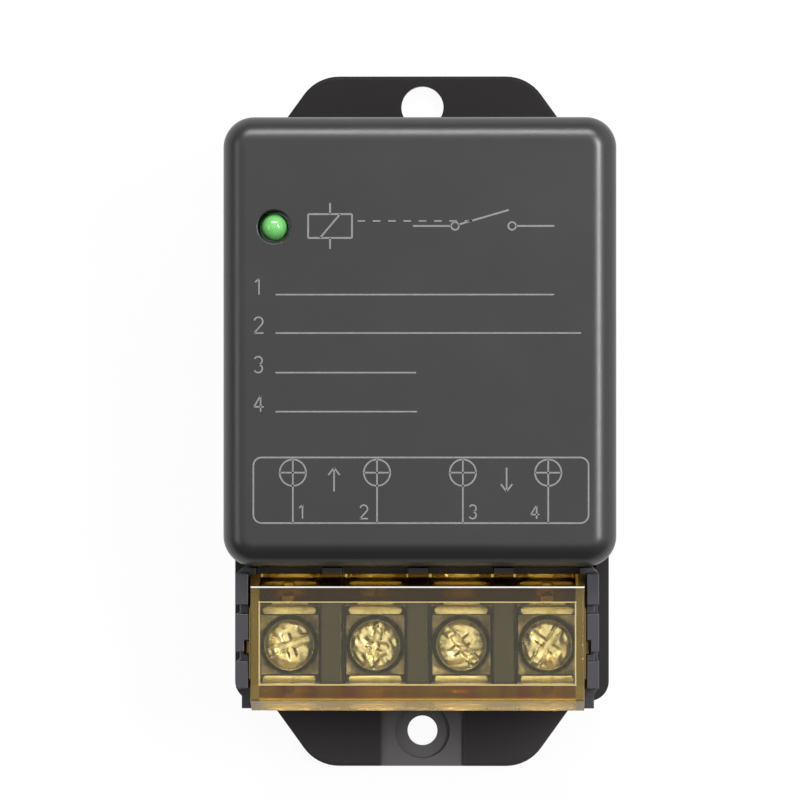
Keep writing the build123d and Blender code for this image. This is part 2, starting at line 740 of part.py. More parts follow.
# Contact plate, wire clamp and screw of each terminal
for number, (terminal_x, turn) in enumerate(zip(terminal_places, recess_turns), start=1):
    contact_width = well_width - 2 * free_gap
    tongue_foot = contact_length / 2 - overrun
    tongue_end = contact_length / 2 + tongue_reach
    with BuildPart() as terminal_contact:
        with BuildSketch(Plane.XY.offset(platform)):
            with Locations((terminal_x, screw_y)):
                Rectangle(contact_width, contact_length)
            for end in (-1, 1):
                with BuildLine():
                    Polyline(
                        (terminal_x - tongue_root / 2, screw_y + end * tongue_foot),
                        (terminal_x - tongue_root / 2, screw_y + end * contact_length / 2),
                        (terminal_x - tongue_tip / 2, screw_y + end * tongue_end),
                        (terminal_x + tongue_tip / 2, screw_y + end * tongue_end),
                        (terminal_x + tongue_root / 2, screw_y + end * contact_length / 2),
                        (terminal_x + tongue_root / 2, screw_y + end * tongue_foot),
                        close=True,
                    )
                make_face()
        extrude(amount=plate_thickness)
        with Locations((terminal_x, screw_y, platform - hub_height)):
            Cylinder(hub_radius, hub_height, align=on_floor)
        with BuildSketch(Plane.XY.offset(lead_tip)):
            with Locations((terminal_x, pin_y)):
                Rectangle(pin_width, pin_thickness)
        extrude(amount=platform - lead_tip)
        with Locations((terminal_x, screw_y, contact_top)):
            Hole(screw_radius + screw_clearance, plate_thickness + hub_height + overrun)
    terminal_contact.part.label = f"terminal_contact_{number}"
    export_step(terminal_contact.part, f"parts/terminal_contact_{number}.step")

    # The clamp is a square washer whose ends are bent up beside the screw's head
    clamp_width = contact_width
    clamp_end = clamp_length / 2
    with BuildPart() as wire_clamp:
        with BuildSketch(Plane.YZ.offset(terminal_x - clamp_width / 2)) as clamp_profile:
            with BuildLine():
                Polyline(
                    (screw_y - clamp_end, clamp_bottom),
                    (screw_y + clamp_end, clamp_bottom),
                    (screw_y + clamp_end, clamp_top + clamp_lip),
                    (screw_y + clamp_end - clamp_thickness, clamp_top + clamp_lip),
                    (screw_y + clamp_end - clamp_thickness, clamp_top),
                    (screw_y - clamp_end + clamp_thickness, clamp_top),
                    (screw_y - clamp_end + clamp_thickness, clamp_top + clamp_lip),
                    (screw_y - clamp_end, clamp_top + clamp_lip),
                    close=True,
                )
            make_face()
            fillet(clamp_profile.vertices(), clamp_bend)
        extrude(amount=clamp_width)
        with Locations((terminal_x, screw_y, clamp_top)):
            Hole(clamp_hole_radius, clamp_thickness + overrun)
    wire_clamp.part.label = f"wire_clamp_{number}"
    export_step(wire_clamp.part, f"parts/wire_clamp_{number}.step")

    # The screw is turned from its half profile, then its head is cut with a cross and a slot
    screw_origin = Plane((terminal_x, screw_y, head_bottom), x_dir=(1, 0, 0), z_dir=(0, -1, 0))
    head_shoulder = (head_radius, head_rim)
    with BuildPart() as terminal_screw:
        with BuildSketch(screw_origin):
            with BuildLine():
                TangentArc((0, head_height), head_shoulder, tangent=(1, 0))
                Polyline(
                    head_shoulder,
                    (head_radius, head_chamfer),
                    (head_radius - head_chamfer, 0),
                    (screw_radius, 0),
                    (screw_radius, -screw_length + head_chamfer),
                    (screw_radius - head_chamfer, -screw_length),
                    (0, -screw_length),
                    (0, head_height),
                )
            make_face()
        revolve(axis=Axis((terminal_x, screw_y, 0), (0, 0, 1)))
        with BuildSketch(Plane.XY.offset(head_bottom + head_height - recess_depth)):
            with Locations((terminal_x, screw_y)):
                Rectangle(slot_length, slot_width, rotation=turn)
                Rectangle(cross_length, cross_width, rotation=turn)
                Rectangle(cross_width, cross_length, rotation=turn)
        extrude(amount=recess_depth + overrun, mode=Mode.SUBTRACT)
    terminal_screw.part.label = f"terminal_screw_{number}"
    export_step(terminal_screw.part, f"parts/terminal_screw_{number}.step")

# Clear terminal cover: a trough with slanting skirts, upside down over the wells
with BuildPart() as terminal_cover:
    cap_x = block_shift
    cap_ceiling = cap_bottom + cap_height - cap_top
    with BuildSketch(Plane.YZ.offset(cap_x - cap_half_length)):
        with BuildLine():
            Polyline(
                (cap_y - cap_foot_half, cap_bottom),
                (cap_y - cap_flat_half, cap_bottom + cap_height),
                (cap_y + cap_flat_half, cap_bottom + cap_height),
                (cap_y + cap_foot_half, cap_bottom),
                close=True,
            )
        make_face()
    extrude(amount=2 * cap_half_length)
    fillet(terminal_cover.edges().group_by(Axis.Z)[-1], cap_edge)
    # The ends carry a thin pad and the nub that clips into the block's guide
    with Locations((cap_x, cap_y, cap_bottom)):
        Box(2 * (cap_half_length + cap_pad), 2 * cap_pad_half, cap_height - cap_edge, align=on_floor)
    nub_length = 2 * (cap_half_length + nub_reach)
    with Locations((cap_x, cap_y + nub_shift, cap_bottom)):
        Box(nub_length, nub_width, nub_height, align=on_floor)
    hollow_half = cap_half_length - cap_end_wall
    with BuildSketch(Plane.YZ.offset(cap_x - hollow_half)):
        with BuildLine():
            Polyline(
                (cap_y - cap_inner_foot_half, cap_bottom),
                (cap_y - cap_inner_top_half, cap_ceiling),
                (cap_y + cap_inner_top_half, cap_ceiling),
                (cap_y + cap_inner_foot_half, cap_bottom),
                close=True,
            )
        make_face()
    extrude(amount=2 * hollow_half, mode=Mode.SUBTRACT)
    lug_x = (terminal_count - 1) * terminal_pitch / 2
    with Locations((cap_x, cap_y, cap_ceiling - lug_length)):
        with GridLocations(2 * lug_x, 2 * (cap_inner_top_half + lug_radius / 2), 2, 2):
            Cylinder(lug_radius, lug_length + cap_top / 2, align=on_floor)
terminal_cover.part.label = "terminal_cover"
export_step(terminal_cover.part, "parts/terminal_cover.step")

# Relay case: a thin box open below, resting on the board
with BuildPart() as relay_case:
    with BuildSketch(Plane.XY.offset(board_top)):
        with Locations((relay_x, relay_y)):
            RectangleRounded(relay_width, relay_length, relay_edge)
    extrude(amount=relay_height)
    fillet(relay_case.faces().sort_by(Axis.Z)[-1].edges(), relay_edge / 2)
    with BuildSketch(Plane.XY.offset(board_top)):
        with Locations((relay_x, relay_y)):
            Rectangle(relay_width - 2 * relay_wall, relay_length - 2 * relay_wall)
    extrude(amount=relay_height - relay_wall, mode=Mode.SUBTRACT)
relay_case.part.label = "relay_case"
export_step(relay_case.part, "parts/relay_case.step")

# Relay base, which closes the case from below and holds the pins
with BuildPart() as relay_base:
    with BuildSketch(Plane.XY.offset(board_top)):
        with Locations((relay_x, relay_y)):
            Rectangle(
                relay_width - 2 * relay_wall - 2 * slide_gap,
                relay_length - 2 * relay_wall - 2 * slide_gap,
            )
        with Locations(*coil_pins):
            Circle(lead_radius + seat_gap, mode=Mode.SUBTRACT)
        with Locations(*blade_leads):
            Rectangle(blade_width + 2 * seat_gap, blade_thickness + 2 * seat_gap, mode=Mode.SUBTRACT)
    extrude(amount=relay_base_thickness)
relay_base.part.label = "relay_base"
export_step(relay_base.part, "parts/relay_base.step")

# Yoke: an iron angle whose foot carries the core and whose leg carries the armature
with BuildPart() as relay_yoke:
    with BuildSketch(Plane.YZ.offset(relay_x - yoke_width / 2)):
        with BuildLine():
            Polyline(
                (coil_y - yoke_toe, relay_floor),
                (yoke_back, relay_floor),
                (yoke_back, yoke_top),
                (hinge_y, yoke_top),
                (hinge_y, foot_top),
                (coil_y - yoke_toe, foot_top),
                close=True,
            )
        make_face()
    extrude(amount=yoke_width)
    with Locations((relay_x, coil_y, foot_top)):
        Hole(rivet_radius + seat_gap, yoke_thickness + overrun / 2)
relay_yoke.part.label = "relay_yoke"
export_step(relay_yoke.part, "parts/relay_yoke.step")

# Core: a turned iron pin, riveted in the yoke, with a pole face under the armature
core_profile = Plane((relay_x, coil_y, 0), x_dir=(1, 0, 0), z_dir=(0, -1, 0))
with BuildPart() as relay_core:
    with BuildSketch(core_profile):
        with BuildLine():
            Polyline(
                (0, relay_floor),
                (rivet_radius, relay_floor),
                (rivet_radius, foot_top),
                (core_radius, foot_top),
                (core_radius, pole_bottom),
                (pole_radius, pole_bottom),
                (pole_radius, pole_top),
                (0, pole_top),
                close=True,
            )
        make_face()
    revolve(axis=Axis((relay_x, coil_y, 0), (0, 0, 1)))
relay_core.part.label = "relay_core"
export_step(relay_core.part, "parts/relay_core.step")

# Bobbin: a flanged reel around the core
bobbin_inner = core_radius + seat_gap
bobbin_outer = bobbin_inner + bobbin_wall
with BuildPart() as relay_bobbin:
    with BuildSketch(core_profile):
        with BuildLine():
            Polyline(
                (bobbin_inner, foot_top),
                (flange_radius, foot_top),
                (flange_radius, foot_top + flange_thickness),
                (bobbin_outer, foot_top + flange_thickness),
                (bobbin_outer, bobbin_top - flange_thickness),
                (flange_radius, bobbin_top - flange_thickness),
                (flange_radius, bobbin_top),
                (bobbin_inner, bobbin_top),
                close=True,
            )
        make_face()
    revolve(axis=Axis((relay_x, coil_y, 0), (0, 0, 1)))
relay_bobbin.part.label = "relay_bobbin"
export_step(relay_bobbin.part, "parts/relay_bobbin.step")

# Coil: the wound copper between the bobbin's flanges
with BuildPart() as relay_coil:
    with BuildSketch(Plane.XY.offset(foot_top + flange_thickness)):
        with Locations((relay_x, coil_y)):
            Circle(coil_radius)
            Circle(bobbin_outer, mode=Mode.SUBTRACT)
    extrude(amount=bobbin_top - foot_top - 2 * flange_thickness)
relay_coil.part.label = "relay_coil"
export_step(relay_coil.part, "parts/relay_coil.step")

# Coil pins stand in the base beside the yoke's foot
with BuildPart() as relay_coil_pins:
    leads(coil_pins, foot_top)
relay_coil_pins.part.label = "relay_coil_pins"
export_step(relay_coil_pins.part, "parts/relay_coil_pins.step")

# Armature: an iron plate that tips on the yoke's leg
with BuildPart() as relay_armature:
    with BuildSketch(Plane.XY.offset(armature_bottom)) as armature_plan:
        with Locations((relay_x, yoke_back - armature_length / 2)):
            Rectangle(armature_width, armature_length)
        chamfer(armature_plan.vertices().group_by(Axis.Y)[0], armature_thickness)
    extrude(amount=armature_thickness)
relay_armature.part.label = "relay_armature"
export_step(relay_armature.part, "parts/relay_armature.step")

# Contact spring: a blade on the armature with the moving contact riveted through its end
with BuildPart() as relay_contact_spring:
    blade_back = yoke_back - armature_length + blade_spring_lap
    blade_front = contact_y - contact_radius - part_gap
    with BuildSketch(Plane.XY.offset(armature_top)) as blade_plan:
        with Locations((relay_x, (blade_back + blade_front) / 2)):
            Rectangle(blade_spring_width, blade_back - blade_front)
        chamfer(blade_plan.vertices().group_by(Axis.Y)[0], contact_radius)
    extrude(amount=blade_spring_thickness)
    with Locations((relay_x, contact_y, moving_contact_bottom)):
        Cylinder(contact_radius, contact_thickness, align=on_floor)
    with Locations((relay_x, contact_y, armature_top)):
        Cylinder(contact_radius / 2, 2 * blade_spring_thickness, align=on_floor)
relay_contact_spring.part.label = "relay_contact_spring"
export_step(relay_contact_spring.part, "parts/relay_contact_spring.step")

# Fixed contact: a strip that rises from its pin and turns over under the moving contact
with BuildPart() as relay_fixed_contact:
    shelf_front = shelf_y - shelf_thickness / 2
    with BuildSketch(Plane.YZ.offset(relay_x - shelf_width / 2)):
        with BuildLine():
            Polyline(
                (shelf_front, relay_floor),
                (shelf_front, shelf_top),
                (shelf_front + shelf_length, shelf_top),
                (shelf_front + shelf_length, shelf_top - shelf_thickness),
                (shelf_front + shelf_thickness, shelf_top - shelf_thickness),
                (shelf_front + shelf_thickness, relay_floor),
                close=True,
            )
        make_face()
    extrude(amount=shelf_width)
    with Locations((relay_x, contact_y, shelf_top)):
        Cylinder(contact_radius, fixed_contact_top - shelf_top, align=on_floor)
    blade_pins([fixed_pin], relay_floor)
relay_fixed_contact.part.label = "relay_fixed_contact"
export_step(relay_fixed_contact.part, "parts/relay_fixed_contact.step")

# Common terminal: a bar on the relay's base with two load pins
with BuildPart() as relay_common_terminal:
    with BuildSketch(Plane.XY.offset(relay_floor)):
        with Locations((relay_x, common_y)):
            Rectangle(common_bar_length, common_bar_width)
    extrude(amount=shelf_thickness)
    blade_pins(common_pins, relay_floor)
relay_common_terminal.part.label = "relay_common_terminal"
export_step(relay_common_terminal.part, "parts/relay_common_terminal.step")

# Film capacitor: a boxed block with rounded upright edges
with BuildPart() as film_capacitor:
    with BuildSketch(Plane.XY.offset(board_top)):
        with Locations((film_x, filter_y)):
            RectangleRounded(film_width, film_depth, film_edge)
    extrude(amount=film_height)
    chamfer(film_capacitor.faces().sort_by(Axis.Z)[-1].edges(), film_edge / 2)
    leads(film_leads, board_top)
film_capacitor.part.label = "film_capacitor"
export_step(film_capacitor.part, "parts/film_capacitor.step")

# Varistor: a dipped disc standing on its two leads
with BuildPart() as varistor:
    disc_z = board_top + varistor_lift + varistor_radius
    with BuildSketch(Plane.XZ.offset(-filter_y - varistor_thickness / 2)):
        with Locations((varistor_x, disc_z)):
            Circle(varistor_radius)
    extrude(amount=varistor_thickness)
    fillet(varistor.edges().filter_by(GeomType.CIRCLE), varistor_thickness / 3)
    leads(varistor_leads, disc_z)
varistor.part.label = "varistor"
export_step(varistor.part, "parts/varistor.step")

# Fusible resistor: a ceramic rod on end, its upper lead bent back down
with BuildPart() as fusible_resistor:
    with Locations((resistor_x, resistor_y, board_top)):
        Cylinder(resistor_radius, resistor_height, align=on_floor)
    fillet(fusible_resistor.edges().filter_by(GeomType.CIRCLE), lead_radius)
    bend_z = board_top + resistor_height
    bend_rise = resistor_pitch / 2
    with BuildLine(Plane.YZ.offset(resistor_x)) as upper_lead:
        Line((resistor_y, bend_z - lead_radius), (resistor_y, bend_z + lead_radius))
        ThreePointArc(
            (resistor_y, bend_z + lead_radius),
            (resistor_y - resistor_pitch / 2, bend_z + lead_radius + bend_rise),
            (resistor_y - resistor_pitch, bend_z + lead_radius),
        )
        Line(
            (resistor_y - resistor_pitch, bend_z + lead_radius),
            (resistor_y - resistor_pitch, lead_tip),
        )
    with BuildSketch(Plane.XY.offset(bend_z - lead_radius)):
        with Locations((resistor_x, resistor_y)):
            Circle(lead_radius)
    sweep(path=upper_lead.line)
    leads(resistor_leads[:1], board_top)
fusible_resistor.part.label = "fusible_resistor"
export_step(fusible_resistor.part, "parts/fusible_resistor.step")


def can_profile(radius, height):
    """Half section of an electrolytic capacitor: a can with a crimped groove above its foot."""
    groove = can_groove_height
    return [
        (0, 0),
        (radius - can_edge / 2, 0),
        (radius, can_edge / 2),
        (radius, groove - can_groove),
        (radius - can_groove, groove),
        (radius, groove + can_groove),
        (radius, height - can_edge),
        (radius - can_edge, height),
        (0, height),
    ]


# Two electrolytic capacitors: mains smoothing and low-voltage output
with BuildPart() as smoothing_capacitor:
    with BuildSketch(Plane((supply_x, large_can_y, board_top), x_dir=(1, 0, 0), z_dir=(0, -1, 0))):
        with BuildLine():
            Polyline(*can_profile(large_can_radius, large_can_height), close=True)
        make_face()
    revolve(axis=Axis((supply_x, large_can_y, 0), (0, 0, 1)))
    leads(large_can_leads, board_top)
smoothing_capacitor.part.label = "smoothing_capacitor"
export_step(smoothing_capacitor.part, "parts/smoothing_capacitor.step")

with BuildPart() as output_capacitor:
    with BuildSketch(Plane((small_can_x, small_can_y, board_top), x_dir=(1, 0, 0), z_dir=(0, -1, 0))):
        with BuildLine():
            Polyline(*can_profile(small_can_radius, small_can_height), close=True)
        make_face()
    revolve(axis=Axis((small_can_x, small_can_y, 0), (0, 0, 1)))
    leads(small_can_leads, board_top)
output_capacitor.part.label = "output_capacitor"
export_step(output_capacitor.part, "parts/output_capacitor.step")

# Transformer: a ferrite window frame around a flanged reel with its winding
reel_z = board_top + rail_height + reel_half_height
window_width = transformer_width / 2 - core_outer_leg - core_centre_leg / 2
window_x = core_centre_leg / 2 + window_width / 2
window_length = transformer_length - 2 * core_yoke
with BuildPart() as transformer_core:
    with BuildSketch(Plane.XY.offset(reel_z - core_depth / 2)):
        with Locations((supply_x, transformer_y)):
            Rectangle(transformer_width, transformer_length)
        with Locations((supply_x - window_x, transformer_y), (supply_x + window_x, transformer_y)):
            Rectangle(window_width, window_length, mode=Mode.SUBTRACT)
    extrude(amount=core_depth)
transformer_core.part.label = "transformer_core"
export_step(transformer_core.part, "parts/transformer_core.step")

tube_x = core_centre_leg / 2 + seat_gap
tube_z = core_depth / 2 + seat_gap
reel_x = core_centre_leg / 2 + window_width - slide_gap
reel_front = Plane.XZ.offset(-transformer_y - window_length / 2 + seat_gap)
reel_length = window_length - 2 * seat_gap
with BuildPart() as transformer_bobbin:
    with BuildSketch(reel_front):
        with Locations((supply_x, reel_z)):
            Rectangle(2 * (tube_x + tube_wall), 2 * (tube_z + tube_wall))
    extrude(amount=reel_length)
    flange_back = reel_front.offset(reel_length - reel_flange)
    with BuildSketch(reel_front, flange_back):
        with Locations((supply_x, reel_z)):
            Rectangle(2 * reel_x, 2 * reel_half_height)
    extrude(amount=reel_flange)
    # Rails under both ends of the core join the flanges and hold the pins
    rail_depth = core_yoke + reel_flange
    rail_y = (transformer_length - rail_depth) / 2
    with BuildSketch(Plane.XY.offset(board_top)):
        for end in (-1, 1):
            with Locations((supply_x, transformer_y + end * rail_y)):
                Rectangle(2 * reel_x, rail_depth)
    extrude(amount=rail_height)
    with BuildSketch(reel_front):
        with Locations((supply_x, reel_z)):
            Rectangle(2 * tube_x, 2 * tube_z)
    extrude(amount=reel_length, mode=Mode.SUBTRACT)
    leads(transformer_leads, board_top)
transformer_bobbin.part.label = "transformer_bobbin"
export_step(transformer_bobbin.part, "parts/transformer_bobbin.step")

with BuildPart() as transformer_winding:
    winding_front = reel_front.offset(reel_flange)
    with BuildSketch(winding_front):
        with Locations((supply_x, reel_z)):
            Rectangle(2 * (reel_x - winding_inset), 2 * (reel_half_height - winding_inset))
            Rectangle(2 * (tube_x + tube_wall), 2 * (tube_z + tube_wall), mode=Mode.SUBTRACT)
    extrude(amount=reel_length - 2 * reel_flange)
transformer_winding.part.label = "transformer_winding"
export_step(transformer_winding.part, "parts/transformer_winding.step")

# Surface-mounted parts on the board's underside
with BuildPart() as rectifier_bridge:
    with BuildSketch(Plane.XY.offset(board_bottom - bridge_height)):
        with Locations((supply_x, bridge_y)):
            Rectangle(bridge_width, bridge_depth)
    extrude(amount=bridge_height)
    chamfer(rectifier_bridge.faces().sort_by(Axis.Z)[0].edges(), chip_leg_thickness)
rectifier_bridge.part.label = "rectifier_bridge"
export_step(rectifier_bridge.part, "parts/rectifier_bridge.step")

with BuildPart() as power_controller:
    with BuildSketch(Plane.XY.offset(board_bottom - chip_height)):
        with Locations((supply_x, transformer_y)):
            Rectangle(chip_width, chip_depth)
    extrude(amount=chip_height)
    chamfer(power_controller.faces().sort_by(Axis.Z)[0].edges(), chip_leg_thickness)
    with Locations((supply_x, transformer_y, board_bottom - chip_leg_thickness)):
        with GridLocations(chip_pitch, chip_depth + chip_leg_reach, 4, 2):
            Box(chip_leg, chip_leg_reach, chip_leg_thickness, align=on_floor)
power_controller.part.label = "power_controller"
export_step(power_controller.part, "parts/power_controller.step")

transistor_y = radio_pin_y - radio_pin_side - transistor_depth - part_gap
with BuildPart() as driver_transistor:
    with BuildSketch(Plane.XY.offset(board_bottom - transistor_height)):
        with Locations((0, transistor_y)):
            Rectangle(transistor_width, transistor_depth)
    extrude(amount=transistor_height)
    with Locations((0, transistor_y, board_bottom - chip_leg_thickness)):
        with GridLocations(transistor_width - chip_leg_reach, transistor_depth + chip_leg_reach / 2, 2, 2):
            Box(chip_leg, chip_leg_reach / 2, chip_leg_thickness, align=on_floor)
driver_transistor.part.label = "driver_transistor"
export_step(driver_transistor.part, "parts/driver_transistor.step")

with BuildPart() as flyback_diode:
    with BuildSketch(Plane.XY.offset(board_bottom - diode_height)):
        with Locations((relay_x, coil_y)):
            Rectangle(diode_width, diode_depth)
    extrude(amount=diode_height)
    chamfer(flyback_diode.faces().sort_by(Axis.Z)[0].edges(), diode_tab)
    with Locations((relay_x, coil_y, board_bottom - diode_tab)):
        Box(diode_width + 2 * diode_tab, diode_tab_width, diode_tab, align=on_floor)
flyback_diode.part.label = "flyback_diode"
export_step(flyback_diode.part, "parts/flyback_diode.step")

# Radio board with its shield can, upright behind the relay
radio_front = Plane.XZ.offset(-radio_y + radio_thickness / 2)
radio_bottom = board_top + radio_lift
with BuildPart() as radio_board:
    with BuildSketch(Plane.XZ.offset(-radio_y - radio_thickness / 2)):
        with Locations((0, radio_bottom + radio_height / 2)):
            Rectangle(radio_width, radio_height)
    extrude(amount=radio_thickness)
radio_board.part.label = "radio_board"
export_step(radio_board.part, "parts/radio_board.step")

with BuildPart() as radio_shield:
    shield_z = radio_bottom + shield_lift + shield_height / 2
    with BuildSketch(radio_front):
        with Locations((shield_shift, shield_z)):
            Rectangle(shield_width, shield_height)
    extrude(amount=shield_depth)
    with BuildSketch(radio_front):
        with Locations((shield_shift, shield_z)):
            Rectangle(shield_width - 2 * shield_wall, shield_height - 2 * shield_wall)
    extrude(amount=shield_depth - shield_wall, mode=Mode.SUBTRACT)
radio_shield.part.label = "radio_shield"
export_step(radio_shield.part, "parts/radio_shield.step")

with BuildPart() as radio_pins:
    with Locations(*[(x, y, lead_tip) for x, y in radio_leads]):
        Box(radio_pin_side, radio_pin_side, board_top + radio_pin_rise - lead_tip, align=on_floor)
radio_pins.part.label = "radio_pins"
export_step(radio_pins.part, "parts/radio_pins.step")

# Pairing switch: its body stands on the board, its plunger faces the cover's side
with BuildPart() as switch_body:
    with Locations((switch_x, switch_y, board_top)):
        Box(switch_depth, switch_width, switch_height, align=on_floor)
    chamfer(switch_body.edges().filter_by(Axis.Z), film_edge / 2)
    with Locations(Plane((switch_face, switch_y, button_z), z_dir=(-1, 0, 0)).location):
        Hole(plunger_radius + slide_gap, plunger_length - plunger_reach + button_travel + slide_gap)
    leads(switch_leads, board_top)
switch_body.part.label = "switch_body"
export_step(switch_body.part, "parts/switch_body.step")

plunger_tip = switch_face - plunger_reach
with BuildPart() as switch_plunger:
    with BuildSketch(Plane.YZ.offset(plunger_tip)):
        with Locations((switch_y, button_z)):
            Circle(plunger_radius)
    extrude(amount=plunger_length)
    chamfer(switch_plunger.edges().group_by(Axis.X)[0], slide_gap)
switch_plunger.part.label = "switch_plunger"
export_step(switch_plunger.part, "parts/switch_plunger.step")

with BuildPart() as pairing_button:
    button_face = -cover_half + button_recess
    flange_face = -cover_half + cover_wall + free_gap
    with BuildSketch(Plane.YZ.offset(button_face)):
        with Locations((switch_y, button_z)):
            Circle(button_radius)
    extrude(amount=flange_face - button_face)
    fillet(pairing_button.edges().group_by(Axis.X)[0], slide_gap)
    with BuildSketch(Plane.YZ.offset(flange_face)):
        with Locations((switch_y, button_z)):
            Circle(button_flange_radius)
    extrude(amount=button_flange)
    with BuildSketch(Plane.YZ.offset(flange_face)):
        with Locations((switch_y, button_z)):
            Circle(button_stem_radius)
    extrude(amount=plunger_tip - flange_face)
pairing_button.part.label = "pairing_button"
export_step(pairing_button.part, "parts/pairing_button.step")

# Status lamp: a domed lens on two long leads, its tip level with the cover
lens_tip = module_height - lamp_sink
dome_start = lens_tip - lamp_radius
lens_foot = dome_start - lamp_body
with BuildPart() as lamp_lens:
    with BuildSketch(Plane((lamp_x, lamp_y, 0), x_dir=(1, 0, 0), z_dir=(0, -1, 0))):
        with BuildLine():
            Polyline(
                (lamp_radius, dome_start),
                (lamp_radius, lens_foot + lamp_flange),
                (lamp_flange_radius, lens_foot + lamp_flange),
                (lamp_flange_radius, lens_foot),
                (0, lens_foot),
                (0, lens_tip),
            )
            RadiusArc((0, lens_tip), (lamp_radius, dome_start), lamp_radius)
        make_face()
    revolve(axis=Axis((lamp_x, lamp_y, 0), (0, 0, 1)))
lamp_lens.part.label = "lamp_lens"
export_step(lamp_lens.part, "parts/lamp_lens.step")

with BuildPart() as lamp_leads_pair:
    with Locations(*[(x, y, lead_tip) for x, y in lamp_leads]):
        Box(lamp_lead, lamp_lead, lens_foot - lead_tip, align=on_floor)
lamp_leads_pair.part.label = "lamp_leads"
export_step(lamp_leads_pair.part, "parts/lamp_leads.step")
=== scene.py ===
import json
import math

import bmesh
import bpy
import numpy as np
from mathutils import Matrix, Vector


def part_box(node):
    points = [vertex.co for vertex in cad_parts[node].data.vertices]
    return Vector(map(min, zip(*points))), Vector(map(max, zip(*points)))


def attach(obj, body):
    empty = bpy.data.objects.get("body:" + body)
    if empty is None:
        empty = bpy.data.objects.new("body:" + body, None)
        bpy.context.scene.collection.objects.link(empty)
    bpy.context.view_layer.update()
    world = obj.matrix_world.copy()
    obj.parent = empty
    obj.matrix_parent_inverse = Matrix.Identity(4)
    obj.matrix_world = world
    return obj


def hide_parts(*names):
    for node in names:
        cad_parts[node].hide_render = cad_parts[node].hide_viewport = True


# Looks of a boxed mains relay module. Sizes are in millimetres, in the CAD's frame, and become metres in mesh_of().
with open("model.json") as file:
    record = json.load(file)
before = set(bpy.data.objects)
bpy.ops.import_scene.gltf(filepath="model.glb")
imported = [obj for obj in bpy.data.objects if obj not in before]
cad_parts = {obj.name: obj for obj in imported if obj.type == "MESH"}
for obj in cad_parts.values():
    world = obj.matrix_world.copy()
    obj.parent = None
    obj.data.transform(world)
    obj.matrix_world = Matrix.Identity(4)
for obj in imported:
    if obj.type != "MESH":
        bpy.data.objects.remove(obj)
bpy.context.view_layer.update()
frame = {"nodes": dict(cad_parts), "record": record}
MM = 0.001


def span(node):
    """A node's lowest and highest corners in millimetres."""
    low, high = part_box(node)
    return np.array(low) / MM, np.array(high) / MM


def middle(node):
    """The middle of a node's box in millimetres."""
    low, high = span(node)
    return (low + high) / 2


# Places taken from the frame
cover_low, cover_high = span("top_cover")
block_low, block_high = span("terminal_block")
cap_low, cap_high = span("terminal_cover")
lens_low, lens_high = span("lamp_lens")
lamp_place = (*middle("lamp_lens")[:2], cover_high[2] - 0.02)
button_low, button_high = span("pairing_button")
terminals = range(1, 5)

# Sizes of the top cover, as moulded
cover_rim = 6.4
cover_wall = 1.6
cover_corner = 3.45
cover_edge = 2.65
cover_draft = 0.3  # degrees
inner_corner = 1.85
inner_edge = 1.05
rebate_half = 20.45
rebate_top = 8.1
rebate_back = 32.25
front_wall_foot = 6.9
front_gap_half = 19.6
ink = 0.02  # thickness of the print, whose top is level with the cover's highest point
lamp_hole = 1.8
button_hole = 1.6
boss_radius = 2.5
boss_bore = 1.35
post_top = 4.6
hole_edge = 0.14
support = 0.08  # distance from a bend to the row of points that keeps a flat face flat


class Wire:
    """The output of a node, on which arithmetic adds Math nodes."""

    def __init__(self, sheet, socket):
        self.sheet = sheet
        self.socket = socket

    def __add__(self, other):
        return self.sheet.maths("ADD", self, other)

    def __sub__(self, other):
        return self.sheet.maths("SUBTRACT", self, other)

    def __rsub__(self, other):
        return self.sheet.maths("SUBTRACT", other, self)

    def __mul__(self, other):
        return self.sheet.maths("MULTIPLY", self, other)

    def __pow__(self, other):
        return self.sheet.maths("POWER", self, other)

    def __abs__(self):
        return self.sheet.maths("ABSOLUTE", self)

    __radd__ = __add__
    __rmul__ = __mul__

    def larger(self, other):
        return self.sheet.maths("MAXIMUM", self, other)

    def between(self, low, high):
        """0 below low, 1 above high, smooth between them."""
        settings = {"interpolation_type": "SMOOTHSTEP"}
        return self.sheet.node("ShaderNodeMapRange", settings, {"Value": self, "From Min": low, "From Max": high})

    def past(self, low, high):
        """The same for a length in the piece, with low and high in millimetres."""
        return self.between(low * MM, high * MM)


